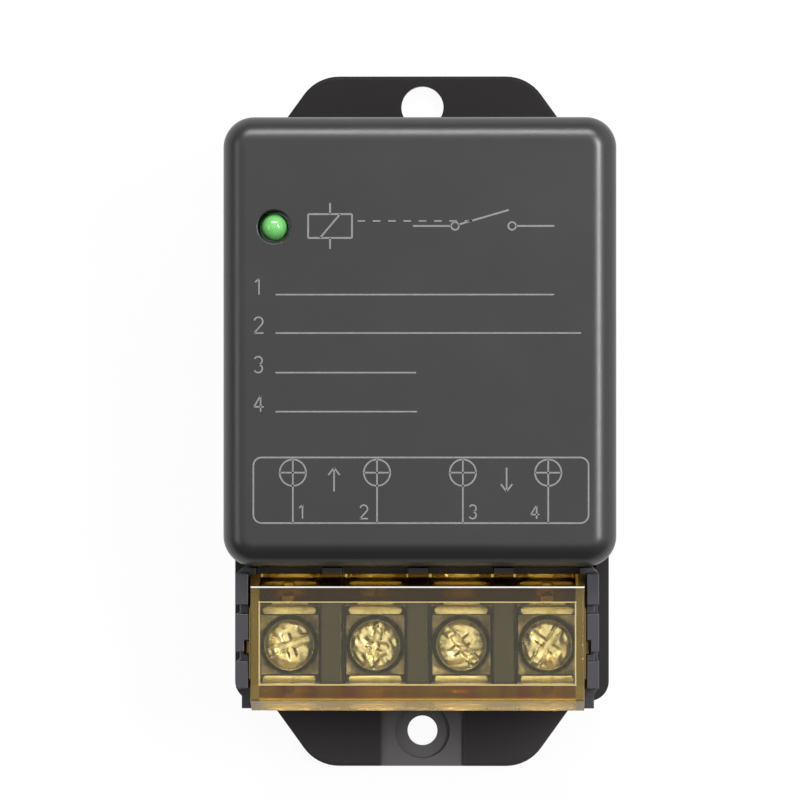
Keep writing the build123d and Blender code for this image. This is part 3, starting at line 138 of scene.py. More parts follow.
class Sheet:
    """A node tree on which a finish is drawn up."""

    def __init__(self, tree):
        self.tree = tree
        tree.nodes.clear()

    def node(self, kind, settings=None, inputs=None, output=0):
        """Adds a node, makes its settings, then gives its sockets values or links, and hands back one output."""
        made = self.tree.nodes.new(kind)
        for name, value in (settings or {}).items():
            setattr(made, name, value)
        for key, value in (inputs or {}).items():
            socket = made.inputs[key] if isinstance(key, int) else next(
                s for s in made.inputs if s.identifier == key or (s.enabled and s.name == key))
            if isinstance(value, Wire):
                self.tree.links.new(value.socket, socket)
            else:
                socket.default_value = (*value, 1.0) if socket.type == "RGBA" and len(value) == 3 else value
        return Wire(self, made.outputs[output]) if len(made.outputs) else made

    def maths(self, operation, first, second=0.0):
        return self.node("ShaderNodeMath", {"operation": operation}, {0: first, 1: second})

    def place(self):
        """The point on the piece, in metres in the CAD's frame."""
        return self.node("ShaderNodeTexCoord", output="Object")

    def apart(self, vector):
        """The three parts of a vector."""
        split = self.node("ShaderNodeSeparateXYZ", inputs={0: vector}).socket.node
        return [Wire(self, socket) for socket in split.outputs]

    def stretched(self, scale):
        """The place scaled along each axis, so that a pattern on it is drawn out."""
        return self.node("ShaderNodeMapping", inputs={"Vector": self.place(), "Scale": scale})

    def noise(self, size, detail=2.0, rough=0.5, vector=None):
        """Noise from 0 to 1 whose blotches are about size millimetres across."""
        settings = {"noise_dimensions": "3D"}
        inputs = {"Vector": vector or self.place(), "Scale": 1 / (size * MM), "Detail": detail, "Roughness": rough}
        return self.node("ShaderNodeTexNoise", settings, inputs)

    def mix(self, share, first, second):
        """A colour between two colours."""
        inputs = {"Factor_Float": share, "A_Color": first, "B_Color": second}
        return self.node("ShaderNodeMix", {"data_type": "RGBA"}, inputs, output=2)

    def bump(self, height, depth, normal=None):
        """A normal from a height of 0 to 1 that stands for depth millimetres."""
        inputs = {"Height": height, "Distance": depth * MM, "Strength": 1.0}
        if normal:
            inputs["Normal"] = normal
        return self.node("ShaderNodeBump", inputs=inputs)

    def surface(self, shader, volume=None):
        inputs = {"Surface": shader}
        if volume:
            inputs["Volume"] = volume
        self.node("ShaderNodeOutputMaterial", inputs=inputs)


finishes = {}


def finish(name, draw):
    """A material whose nodes are added by draw. It is kept in finishes under its name."""
    material = bpy.data.materials.new(name)
    material.use_nodes = True
    draw(Sheet(material.node_tree))
    finishes[name] = material


def principled(sheet, **sockets):
    """A Principled shader; a socket's name is written with _ for its spaces."""
    inputs = {name.replace("_", " "): value for name, value in sockets.items()}
    return sheet.node("ShaderNodeBsdfPrincipled", inputs=inputs)


def blend(sheet, share, first, second):
    """The first shader where the share is 0 and the second where it is 1."""
    return sheet.node("ShaderNodeMixShader", inputs={0: share, 1: first, 2: second})


def shade(colour, factor):
    """A colour made darker or lighter."""
    return tuple(min(1.0, part * factor) for part in colour)


def moulded(name, colour, roughness=0.45, grain=0.11, depth=0.004, blotch=0.06, specular=0.5, wear=0.25,
            zone=None):
    """Spark-eroded thermoplastic: fine grain in the tool's finish, slow clouds of tone, and a few rubbed, paler
    specks. A zone gives a share of 0 to 1 over the piece and the colour painted there: the lamp's green light on the
    cover, painted light and shade on the tray's ears, and a paler tone on the block's uprights."""
    def draw(sheet):
        fine = sheet.noise(grain, 3.0, 0.6)
        cloud = sheet.noise(9.0, 3.0, 0.55)
        rubbed = sheet.noise(1.7, 6.0, 0.75).between(0.66, 0.80)
        dusty = tuple(min(1.0, part * 1.25 + 0.015) for part in colour)
        tone = sheet.mix(cloud, shade(colour, 1 - blotch), shade(colour, 1 + blotch))
        tone = sheet.mix(rubbed * wear, tone, dusty)
        if zone:
            zone_share, zone_colour = zone(sheet)
            tone = sheet.mix(zone_share, tone, zone_colour)
        rough = roughness + (cloud - 0.5) * 0.10 + (fine - 0.5) * 0.12 - rubbed * 0.05
        normal = sheet.bump(fine, depth, sheet.bump(cloud, 0.05))
        shader = principled(sheet, Base_Color=tone, Roughness=rough, Specular_IOR_Level=specular, Normal=normal)
        sheet.surface(shader)
    finish(name, draw)


def plated(name, colour, roughness=0.3, streak=0.25, tarnish=(0.5, 0.42, 0.3), share=0.35, depth=0.003, metal=1.0,
           zone=None):
    """Plated metal: a drawn streak from rolling or turning, a fine orange peel, and patches of duller tarnish. A zone
    gives a share of 0 to 1 over the piece and the colour painted there, which on the wire clamps is painted shade."""
    def draw(sheet):
        along = sheet.stretched((1.0, streak, 1.0))
        drawn = sheet.noise(0.06, 2.0, 0.6, along)
        peel = sheet.noise(0.22, 3.0, 0.6)
        patch = sheet.noise(1.3, 5.0, 0.65).between(0.42, 0.68)
        dull = tuple(part * loss for part, loss in zip(colour, tarnish))
        tone = sheet.mix(patch * share, colour, dull)
        if zone:
            zone_share, zone_colour = zone(sheet)
            tone = sheet.mix(zone_share, tone, zone_colour)
        rough = roughness + patch * 0.14 + (drawn - 0.5) * 0.16
        normal = sheet.bump(drawn, depth, sheet.bump(peel, depth * 1.6))
        sheet.surface(principled(sheet, Base_Color=tone, Metallic=metal, Roughness=rough, Normal=normal))
    finish(name, draw)


def wound(name, colour, turn_size, metal=0.0, roughness=0.35):
    """Turns of enamelled wire or tape: rounded ridges round the coil's Z axis, each a little different in tone."""
    def draw(sheet):
        height = sheet.apart(sheet.place())[2]
        ridge = sheet.maths("SINE", height * (math.tau / (turn_size * MM)))
        uneven = sheet.noise(0.5, 3.0, 0.6, sheet.stretched((0.15, 0.15, 2.0)))
        tone = sheet.mix(uneven, shade(colour, 0.72), shade(colour, 1.2))
        rough = roughness + (uneven - 0.5) * 0.2
        normal = sheet.bump(ridge * 0.5 + 0.5, turn_size * 0.35)
        sheet.surface(principled(sheet, Base_Color=tone, Metallic=metal, Roughness=rough, Normal=normal))
    finish(name, draw)


def laminate(name, colour):
    """Solder mask over glass cloth: the weave shows faintly through a glossy green lacquer."""
    def draw(sheet):
        x, y, z = sheet.apart(sheet.place())
        cell = math.tau / (0.8 * MM)
        weave = sheet.maths("SINE", x * cell) * sheet.maths("SINE", y * cell) * 0.5 + 0.5
        cloud = sheet.noise(4.0, 3.0)
        tone = sheet.mix(weave * 0.35 + cloud * 0.3, shade(colour, 0.75), shade(colour, 1.25))
        rough = 0.24 + (cloud - 0.5) * 0.12
        normal = sheet.bump(weave, 0.01)
        sheet.surface(principled(sheet, Base_Color=tone, Roughness=rough, Coat_Weight=0.4, Normal=normal))
    finish(name, draw)


def lamp_spill(sheet):
    """Green light from the lens on the wall and the rim of its hole."""
    parts = zip(sheet.apart(sheet.place()), lamp_place)
    away = sheet.maths("SQRT", sum((part - at * MM) ** 2.0 for part, at in parts))
    return 1.0 - away.past(lamp_hole + 0.06, lamp_hole + 0.18), (0.0, 0.020, 0.008)


def ear_painted_shading(sheet):
    """The front ear is painted paler than the rest of the tray, as painted light against the shade in front of the
    module, and paler still on the pad between its two raised parts. The back ear is painted darker, as painted shade
    against the light of the back lamp."""
    x, y, z = sheet.apart(sheet.place())
    pad_half = 4.65
    front, back = (y * -1.0).past(31.5, 33.5), y.past(33.2, 33.5)
    pad = 1.0 - abs(x).past(pad_half - 0.2, pad_half + 0.2)
    tone = sheet.mix(pad, (0.038, 0.0335, 0.036), (0.124, 0.117, 0.123))
    return front.larger(back), sheet.mix(back, tone, (0.0135, 0.0115, 0.0125))


def upright_tops(sheet):
    """The block's end uprights, which stand clear of the cover, have a paler, bluish tone."""
    x, y, z = sheet.apart(sheet.place())
    half, centre = (block_high[0] - block_low[0]) / 2, middle("terminal_block")[0]
    return abs(x - centre * MM).past(half - 1.6, half - 1.3), (0.032, 0.032, 0.040)


def clamp_flat_painted_shade(sheet):
    """The flat of the wire clamps, painted dark in cloudy patches between its two bright bent-up ends: painted shade
    and dark reflection.
    """
    x, y, z = sheet.apart(sheet.place())
    cloud = sheet.noise(2.2, 3.0, 0.6).between(0.30, 0.62)
    flat = 1.0 - abs(y - middle("wire_clamp_1")[1] * MM).past(3.15, 3.4)
    return flat * (cloud * 0.35 + 0.62), (0.100, 0.078, 0.070)


def amber(name):
    """Clear amber plastic, coloured through its depth, with faint flow lines from the gate. Its flat window is clear.
    Its slopes and ends are a deeper gold, since they are seen through their full height, and an opaque layer over
    them holds painted shade and light. Thin light lines along its edges are painted highlights, for light that is
    caught in the plastic and leaves there."""
    window = 4.55  # from the cover's middle line to the long sides of its window
    end_wall = 1.45  # from the cover's ends to the window's short sides
    skirt_top = 6.0  # from the middle line to the top of the front skirt
    crest_line = 6.20  # and to the back edge of the top

    def draw(sheet):
        x, y, z = sheet.apart(sheet.place())
        centre, half = middle("terminal_cover"), (cap_high[0] - cap_low[0]) / 2
        across, along = y - centre[1] * MM, abs(x - centre[0] * MM)
        ahead = across * -1.0
        flow = sheet.noise(2.4, 3.0, 0.5, sheet.stretched((0.35, 1.0, 1.0)))
        rough = 0.02 + sheet.noise(0.5, 4.0, 0.6).between(0.60, 0.80) * 0.06
        normal = sheet.bump(flow, 0.010)

        # Clear window, and gold slopes and ends
        tone = sheet.mix(flow, (1.0, 0.965, 0.94), (1.0, 0.95, 0.91))
        clear = principled(sheet, Base_Color=tone, Roughness=rough, Normal=normal, IOR=1.47, Transmission_Weight=1.0)
        gold = sheet.mix(flow.between(0.35, 0.65), (0.95, 0.80, 0.48), (0.88, 0.70, 0.36))
        glass = {"Color": gold, "Roughness": rough, "IOR": 1.56, "Normal": normal}
        deep = sheet.node("ShaderNodeBsdfGlass", inputs=glass)
        front, back = ahead.past(window - 0.05, window + 0.05), across.past(window - 0.05, window + 0.05)
        end = along.past(half - end_wall - 0.05, half - end_wall + 0.05)
        shader = blend(sheet, front.larger(back).larger(end) * 0.85, clear, deep)

        # Painted shade and light over the slopes, as an opaque layer: brown in front, nearly black shade at the back,
        # and painted gold light in the front skirt and the ends
        skirt = ahead.past(skirt_top, skirt_top + 0.3)
        patch = sheet.noise(1.6, 2.0, 0.5, sheet.stretched((0.5, 0.0, 0.0))).between(0.42, 0.58)
        haze = sheet.mix(patch, (0.085, 0.050, 0.012), (0.062, 0.022, 0.011))
        haze = sheet.mix(skirt, haze, (1.0, 0.66, 0.10))
        haze = sheet.mix(back, haze, (0.040, 0.025, 0.012))
        haze = sheet.mix(end, haze, (0.20, 0.135, 0.030))
        painted_shading_layer = principled(sheet, Base_Color=haze, Roughness=0.3, Normal=normal)
        front_share = front * (0.62 - skirt * 0.46)
        back_share = back * (1.0 - across.past(crest_line, crest_line + 0.2)) * 0.45
        shader = blend(sheet, back_share.larger(front_share).larger(end * 0.5), shader, painted_shading_layer)

        # Painted highlights: thin light lines round the window, at the ends and along the back edge, on the top only
        def line(value, at, reach):
            return 1.0 - abs(value - at * MM).past(reach / 2, reach)
        sides = line(across, window, 0.09).larger(line(across, -window, 0.11))
        sides = sides * (1.0 - along.past(half - end_wall + 0.05, half - end_wall + 0.15))
        ends = line(along, half - end_wall, 0.10) * (1.0 - abs(across).past(window + 0.05, window + 0.15))
        rim = sides.larger(ends).larger(line(along, half - 0.10, 0.12)) * 0.65
        crest = line(across, crest_line, 0.11)
        on_top = z.past(cap_high[2] - 0.35, cap_high[2] - 0.25)
        painted_highlight_tone = sheet.mix(crest, (0.62, 0.50, 0.20), (1.0, 0.97, 0.92))
        painted_highlight = principled(sheet, Base_Color=painted_highlight_tone, Roughness=0.35)
        shader = blend(sheet, rim.larger(crest) * on_top, shader, painted_highlight)
        depth = sheet.node("ShaderNodeVolumeAbsorption", inputs={"Color": (0.9636, 0.848, 0.0), "Density": 330.0})
        sheet.surface(shader, depth)
    finish(name, draw)


def lamp_plastic(name):
    """Tinted, milky green lens."""
    def draw(sheet):
        haze = sheet.noise(0.6, 3.0, 0.5)
        tone = sheet.mix(haze, (0.13, 0.52, 0.12), (0.20, 0.60, 0.17))
        rough = 0.10 + (haze - 0.5) * 0.05
        shader = principled(sheet, Base_Color=tone, Roughness=rough, IOR=1.52, Transmission_Weight=0.15,
                            Coat_Weight=0.5, Coat_Roughness=0.05)
        sheet.surface(shader)
    finish(name, draw)


def printed(name, colour):
    """Pad-printed ink: slightly uneven cover and a dull, fine surface."""
    def draw(sheet):
        fine = sheet.noise(0.08, 3.0, 0.6)
        thin = sheet.noise(0.7, 4.0, 0.7)
        tone = sheet.mix(thin.between(0.35, 0.7), shade(colour, 0.82), colour)
        rough = 0.55 + (fine - 0.5) * 0.2
        sheet.surface(principled(sheet, Base_Color=tone, Roughness=rough, Normal=sheet.bump(fine, 0.003)))
    finish(name, draw)


def sleeved(name, colour, stripe, centre):
    """Shrink sleeve of a capacitor: satin film with a paler stripe down the side that marks a pole."""
    def draw(sheet):
        x, y, z = sheet.apart(sheet.place())
        edge = ((x - centre[0] * MM) * -1.0).past(2.6, 2.9)
        fine = sheet.noise(0.3, 4.0, 0.6)
        tone = sheet.mix(edge, sheet.mix(fine, shade(colour, 0.85), shade(colour, 1.15)), stripe)
        rough = 0.32 + (fine - 0.5) * 0.12
        sheet.surface(principled(sheet, Base_Color=tone, Roughness=rough, Normal=sheet.bump(fine, 0.006)))
    finish(name, draw)


# The finishes, one for each slot of the CAD, and the ink
moulded("cover_grey", (0.0150, 0.0146, 0.0144), 0.33, 0.10, 0.0035, 0.05, 0.60, zone=lamp_spill)
moulded("tray_black", (0.0290, 0.0255, 0.0272), 0.52, 0.10, 0.005, 0.10, 0.10, 0.1, ear_painted_shading)
moulded("block_black", (0.0115, 0.0100, 0.0095), 0.36, 0.12, 0.004, 0.10, zone=upright_tops)
moulded("button_black", (0.022, 0.022, 0.023), 0.36, 0.09, 0.003)
moulded("relay_case_black", (0.018, 0.018, 0.019), 0.34, 0.14, 0.004)
moulded("switch_black", (0.020, 0.020, 0.021), 0.36, 0.10, 0.003)
moulded("reel_plastic", (0.62, 0.60, 0.55), 0.45, 0.12, 0.004, 0.04)
moulded("chip_epoxy", (0.022, 0.022, 0.024), 0.5, 0.05, 0.004, 0.08)
moulded("film_yellow", (0.78, 0.50, 0.06), 0.36, 0.2, 0.004, 0.05)
moulded("varistor_blue", (0.05, 0.17, 0.42), 0.3, 0.5, 0.02, 0.10)
moulded("resistor_green", (0.10, 0.26, 0.16), 0.45, 0.3, 0.012, 0.08)
moulded("ferrite", (0.055, 0.053, 0.052), 0.55, 0.08, 0.01, 0.12)
amber("clear_amber")
lamp_plastic("lamp_green")
laminate("board_green", (0.02, 0.12, 0.045))
wound("winding_tape", (0.72, 0.56, 0.12), 1.4)
wound("copper_wire", (0.72, 0.26, 0.10), 0.12, 0.9)
sleeved("can_sleeve", (0.02, 0.035, 0.07), (0.55, 0.56, 0.58), middle("smoothing_capacitor"))
plated("zinc_steel", (0.72, 0.72, 0.71), 0.30)
plated("zinc_yellow_steel", (0.98, 0.95, 0.78), 0.27, 0.8, (0.74, 0.70, 0.60), 0.6, metal=0.92)
plated("clamp_steel", (0.92, 0.85, 0.58), 0.32, 0.2, (0.50, 0.46, 0.38), 0.5, zone=clamp_flat_painted_shade)
plated("contact_brass", (0.80, 0.70, 0.48), 0.34, 0.2, (0.62, 0.55, 0.45), 0.5)
plated("relay_iron", (0.60, 0.59, 0.57), 0.34)
plated("tinned_lead", (0.78, 0.78, 0.76), 0.26)
plated("shield_tin", (0.74, 0.74, 0.72), 0.28, 0.15)
printed("label_ink", (0.20, 0.20, 0.20))

for subpart in frame["record"]["subparts"]:
    surface = frame["nodes"][subpart["node"]].data
    surface.materials.clear()
    surface.materials.append(finishes[subpart["material_slot"]])


def grid(rows, columns, round_rows=False, round_columns=False):
    """The corner numbers of a grid's cells; the last row or column meets the first where it goes round."""
    row, column = np.meshgrid(
        np.arange(rows if round_rows else rows - 1),
        np.arange(columns if round_columns else columns - 1), indexing="ij")
    below, beside = (row + 1) % rows, (column + 1) % columns
    cells = [row * columns + column, row * columns + beside, below * columns + beside, below * columns + column]
    return np.stack(cells, -1).reshape(-1, 4)


def outward(points, faces):
    """A closed shell with its faces turned so that the volume that they enclose is positive."""
    corner = points[faces]
    turn = np.cross(corner[:, 1], corner[:, 2]) + np.cross(corner[:, 2], corner[:, 3])
    volume = (corner[:, 0] * turn).sum()
    return points, faces if volume > 0 else faces[:, ::-1]


def mesh_of(name, shells):
    """One mesh from closed shells in millimetres, with seams and poles merged."""
    points, faces, count = [], [], 0
    for shell_points, shell_faces in shells:
        shell_points, shell_faces = outward(shell_points, shell_faces)
        points.append(shell_points)
        faces.append(shell_faces + count)
        count += len(shell_points)
    mesh = bpy.data.meshes.new(name)
    mesh.from_pydata(np.concatenate(points) * MM, [], np.concatenate(faces))
    tidy = bmesh.new()
    tidy.from_mesh(mesh)
    bmesh.ops.remove_doubles(tidy, verts=tidy.verts, dist=0.0004 * MM)
    tidy.to_mesh(mesh)
    tidy.free()
    return mesh


def add_piece(mesh, name, body, slot, stands_for=(), crease=32, material=None):
    """Shows a mesh as a piece that rides on a body, smooth where its faces meet at less than crease degrees. It has
    its slot's finish, unless a material is named."""
    piece = bpy.data.objects.new(name, mesh)
    bpy.context.scene.collection.objects.link(piece)
    mesh.materials.clear()
    mesh.materials.append(finishes[material or slot])
    mesh.shade_smooth()
    mesh.set_sharp_from_angle(angle=math.radians(crease))
    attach(piece, body)
    if stands_for:
        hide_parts(*stands_for)
    return piece


def solid_of(node):
    """A node's mesh copied as loose triangles, merged, and with its flat faces joined."""
    source = frame["nodes"][node].data
    points = np.zeros(len(source.vertices) * 3)
    source.vertices.foreach_get("co", points)
    corners = np.zeros(len(source.loops), int)
    source.loops.foreach_get("vertex_index", corners)
    mesh = bpy.data.meshes.new(node + "_solid")
    mesh.from_pydata(points.reshape(-1, 3), [], corners.reshape(-1, 3))
    tidy = bmesh.new()
    tidy.from_mesh(mesh)
    bmesh.ops.remove_doubles(tidy, verts=tidy.verts, dist=0.0005 * MM)
    bmesh.ops.dissolve_limit(tidy, angle_limit=math.radians(0.6), verts=tidy.verts, edges=tidy.edges)
    tidy.to_mesh(mesh)
    tidy.free()
    return mesh


def moulding(node, name, slot, edge, body="root", segments=3, crease=30):
    """A node's own solid with its sharp edges rounded as a tool leaves them."""
    piece = add_piece(solid_of(node), name, body, slot, (node,), crease)
    bevel = piece.modifiers.new("edges", "BEVEL")
    bevel.width = edge * MM
    bevel.segments = segments
    bevel.limit_method = "ANGLE"
    bevel.angle_limit = math.radians(38)
    bevel.harden_normals = True
    bevel.use_clamp_overlap = True
    return piece


def round_corners(half_x, half_y, corner, centre, along=44, across=40, bend=14):
    """A rounded rectangle anticlockwise from its right side. Each side has points close to its ends and evenly
    between them; each corner is an arc. The count of points doesn't depend on the sizes."""
    def side(count):
        return np.concatenate([[0.003], np.linspace(0.012, 0.988, count - 2), [0.997]])
    arc = np.radians(np.linspace(0, 90, bend + 1))
    path = []
    corners = [(1, 1), (-1, 1), (-1, -1), (1, -1)]
    for quarter, (sx, sy) in enumerate(corners):
        angle = arc + quarter * math.pi / 2
        middle_x, middle_y = sx * (half_x - corner), sy * (half_y - corner)
        path.append(np.stack([middle_x + corner * np.cos(angle), middle_y + corner * np.sin(angle)], -1))
    joined = []
    for quarter in range(4):
        start, end = path[quarter][-1], path[(quarter + 1) % 4][0]
        step = side(across if quarter % 2 == 0 else along)[:, None]
        joined += [path[quarter], start + (end - start) * step]
    return np.concatenate(joined) + np.array(centre)


def level(outline, height):
    """An outline in the plane, raised to a height."""
    return np.column_stack([outline, np.full(len(outline), height)])


def circle_towards(outline, centre, radius):
    """The points of a circle that face the points of an outline around it."""
    arm = outline - np.array(centre)
    return np.array(centre) + arm * (radius / np.linalg.norm(arm, axis=1))[:, None]


def turned(profile, centre, steps=96, axis="z"):
    """A profile of (radius, height) points turned round an axis through centre, closed at its ends by poles."""
    profile = np.asarray(profile, float)
    angle = np.linspace(0, math.tau, steps, endpoint=False)
    radius, height = profile[:, :1], profile[:, 1:]
    a, b, c = radius * np.cos(angle), radius * np.sin(angle), height + 0 * angle
    points = np.stack([a, b, c] if axis == "z" else [c, a, b], -1).reshape(-1, 3)
    return points + np.array(centre), grid(len(profile), steps, round_columns=True)


def arc_of(centre, radius, first, last, steps=8):
    """Points of an arc from one angle to another, in degrees."""
    angle = np.radians(np.linspace(first, last, steps + 1))
    return np.stack([centre[0] + radius * np.cos(angle), centre[1] + radius * np.sin(angle)], -1)


def cover_shell():
    """The cover as rings of a rounded rectangle: up the drafted side, round the top edge, over the top to the lamp's
    hole, down through it, along the ceiling, and down the inner wall and its rebate to the rim."""
    top = cover_high[2] - ink
    half_x, half_y = (cover_high[0] - cover_low[0]) / 2, (cover_high[1] - cover_low[1]) / 2
    centre = ((cover_high[0] + cover_low[0]) / 2, (cover_high[1] + cover_low[1]) / 2)
    lamp = middle("lamp_lens")[:2]
    bend_start = top - cover_edge
    least_corner = 0.02

    def outer(inset, height):
        corner = max(cover_corner - inset, least_corner)
        return level(round_corners(half_x - inset, half_y - inset, corner, centre), height)

    def inner(inset, height):
        corner, inset = max(inner_corner - inset, least_corner), cover_wall + inset
        return level(round_corners(half_x - inset, half_y - inset, corner, centre), height)

    def rim(ring):
        """The front wall ends higher, so that the board passes under it."""
        at_front = (ring[:, 1] < cover_low[1] + cover_wall + support) & (abs(ring[:, 0]) < front_gap_half)
        ring[:, 2] = np.where(at_front, front_wall_foot, ring[:, 2])
        return ring

    def draft(height):
        return (height - cover_rim) * math.tan(math.radians(cover_draft))

    edge_round = 0.1
    rings = [rim(outer(edge_round, cover_rim)), rim(outer(0.0, cover_rim + edge_round))]
    for height in np.linspace(cover_rim + 0.6, bend_start - support, 9):
        rings.append(outer(draft(height), height))
    for turn in np.radians(np.linspace(0, 90, 25)):
        inset = draft(bend_start) + cover_edge * (1 - math.cos(turn))
        rings.append(outer(inset, bend_start + cover_edge * math.sin(turn)))
    rings.append(outer(draft(bend_start) + cover_edge + support, top))
    outline = rings[-1][:, :2]
    rings.append(level(circle_towards(outline, lamp, lamp_hole + hole_edge + support), top))
    for radius, height in arc_of((lamp_hole + hole_edge, top - hole_edge), hole_edge, 90, 180, 5):
        rings.append(level(circle_towards(outline, lamp, radius), height))
    ceiling = cover_high[2] - cover_wall
    rings.append(level(circle_towards(outline, lamp, lamp_hole), ceiling))
    rings.append(inner(inner_edge + support, ceiling))
    for turn in np.radians(np.linspace(90, 0, 7)):
        rings.append(inner(inner_edge * (1 - math.cos(turn)), ceiling - inner_edge * (1 - math.sin(turn))))
    rings.append(inner(0.0, rebate_top))
    rebate_front = cover_low[1] + cover_wall
    rebate = round_corners(rebate_half, (rebate_back - rebate_front) / 2, 0.05, (0, (rebate_back + rebate_front) / 2))
    rings += [level(rebate, rebate_top), rim(level(rebate, cover_rim))]
    rings = np.array(rings)
    return rings.reshape(-1, 3), grid(len(rings), rings.shape[1], round_rows=True, round_columns=True)


def tube(centre, radius, bore, low, high, steps=48):
    """A plain tube, as a closed ring of four corners turned round."""
    profile = [(radius, low), (radius, high), (bore, high), (bore, low), (radius, low)]
    return turned(profile, (centre[0], centre[1], 0), steps)


def cut(mesh, cutter):
    """A mesh less a closed shell in millimetres."""
    body = bpy.data.objects.new("body", mesh)
    tool = bpy.data.objects.new("tool", mesh_of("tool", [cutter]))
    for thing in (body, tool):
        bpy.context.scene.collection.objects.link(thing)
    boolean = body.modifiers.new("cut", "BOOLEAN")
    boolean.operation, boolean.solver, boolean.object = "DIFFERENCE", "EXACT", tool
    bpy.context.view_layer.update()
    result = bpy.data.meshes.new_from_object(body.evaluated_get(bpy.context.evaluated_depsgraph_get()))
    for thing in (body, tool):
        bpy.data.objects.remove(thing)
    return result


# Top cover, its screw bosses, and the hole for the pairing button
screws_low, screws_high = span("housing_screws")
housing_head = 2.2  # radius of the housing screws' heads
boss_x = screws_high[0] - housing_head
boss_front, boss_back = screws_low[1] + housing_head, screws_high[1] - housing_head
shells = [cover_shell()]
for boss_centre in ((-boss_x, boss_front), (boss_x, boss_front), (-boss_x, boss_back), (boss_x, boss_back)):
    shells.append(tube(boss_centre, boss_radius, boss_bore, post_top, cover_high[2] - cover_wall / 2))
button_mid = (button_low + button_high) / 2
beyond = 1.0  # the cutter stands out of the wall by this on both sides
flare, flare_depth = 0.20, 0.28  # the cone at the hole's mouth
mouth, exit_place = cover_low[0] - beyond, cover_low[0] + cover_wall + beyond
hole_profile = [
    (0, mouth), (button_hole + flare + beyond, mouth), (button_hole, cover_low[0] + flare_depth),
    (button_hole, exit_place), (0, exit_place)]
button_cutter = turned(hole_profile, (0, button_mid[1], button_mid[2]), 64, axis="x")
cover_mesh = cut(mesh_of("top_cover_shell", shells), button_cutter)
add_piece(cover_mesh, "cover_moulding", "root", "cover_grey", ("top_cover",))


# Print on the cover
label_scale = 9.15  # pixels of the photograph to a millimetre of the label face
label_middle = (419.5, 421.1)  # the pixel that shows the middle of the face


def ribbon(path, width=0.18, closed=False):
    """A stroke of ink: the path's points moved half the width to both sides, square to the path, and given the
    print's thickness."""
    path = np.asarray(path, float)
    if closed:
        ahead, behind = np.roll(path, -1, 0), np.roll(path, 1, 0)
    else:
        ahead = np.vstack([path[1:], 2 * path[-1] - path[-2]])
        behind = np.vstack([2 * path[0] - path[1], path[:-1]])
    along = ahead - behind
    along /= np.linalg.norm(along, axis=1)[:, None]
    across = np.stack([-along[:, 1], along[:, 0]], -1) * width / 2
    top, foot = cover_high[2], cover_high[2] - 2 * ink
    corners = ((across, foot), (across, top), (-across, top), (-across, foot))
    rows = [level(path + offset, height) for offset, height in corners]
    count = len(path)
    faces = grid(4, count, round_rows=True, round_columns=closed)
    if not closed:
        ends = np.array([0, count, 2 * count, 3 * count])
        faces = np.vstack([faces, ends[None, ::-1], ends[None] + count - 1])
    return np.concatenate(rows), faces


def at_pixel(x, y):
    """The place on the label face that the camera shows at a pixel of the photograph."""
    return (x - label_middle[0]) / label_scale, (label_middle[1] - y) / label_scale


def numeral(digit, place, height):
    """A plain numeral from straight strokes and arcs, its lower left corner at place."""
    shapes = {
        1: [[(0.10, 0.78), (0.34, 1.0)], [(0.34, 1.0), (0.34, 0.0)]],
        2: [np.vstack([arc_of((0.31, 0.72), 0.27, 165, -38, 14), [(0.04, 0.0)]]), [(0.02, 0.0), (0.62, 0.0)]],
        3: [arc_of((0.29, 0.755), 0.245, 155, -90, 14), arc_of((0.29, 0.255), 0.255, 90, -155, 14)],
        4: [[(0.44, 1.0), (0.02, 0.3)], [(0.02, 0.3), (0.64, 0.3)], [(0.44, 1.0), (0.44, 0.0)]],
    }
    return [ribbon(np.asarray(stroke) * height + np.array(place), 0.17) for stroke in shapes[digit]]


def rounded_frame(low, high, corner):
    """The outline of a rounded rectangle between two corners."""
    centre = ((low[0] + high[0]) / 2, (low[1] + high[1]) / 2)
    return round_corners((high[0] - low[0]) / 2, (high[1] - low[1]) / 2, corner, centre, 6, 6, 8)


strokes = []
symbol_line = 0.2

# Terminal diagram: a round symbol with a slot, a lead and a numeral for each terminal, in a frame
frame_left, frame_top = at_pixel(253.3, 457.4)
frame_right, frame_foot = at_pixel(588.4, 523.0)
strokes.append(ribbon(rounded_frame((frame_left, frame_foot), (frame_right, frame_top), 0.9), closed=True))
symbol_radius = 1.44
terminal_pixels = ((292.8, 297.8), (377.0, 359.5), (462.8, 468.6), (548.1, 530.5))  # the symbol's x, the numeral's x
for number, (symbol_pixel, numeral_pixel) in enumerate(terminal_pixels, start=1):
    x, y = at_pixel(symbol_pixel, 472.6)
    strokes.append(ribbon(arc_of((x, y), symbol_radius, 0, 360, 48)[:-1], closed=True))
    strokes.append(ribbon([(x - symbol_radius, y), (x + symbol_radius, y)]))
    strokes.append(ribbon([(x, y + symbol_radius), (x, frame_foot)]))
    strokes += numeral(number, at_pixel(numeral_pixel, 518.6), 1.5)

# An arrow shows which pair of terminals feeds the module and which pair it feeds
arrow_half, barb_half, barb_length = 1.3, 0.62, 0.8
for pixel, heading in ((334.0, -1), (506.5, 1)):
    x, y = at_pixel(pixel, 479.5)
    tip = y - heading * arrow_half
    strokes.append(ribbon([(x, y + heading * arrow_half), (x, tip)]))
    for side in (-1, 1):
        strokes.append(ribbon([(x + side * barb_half, tip + heading * barb_length), (x, tip)]))

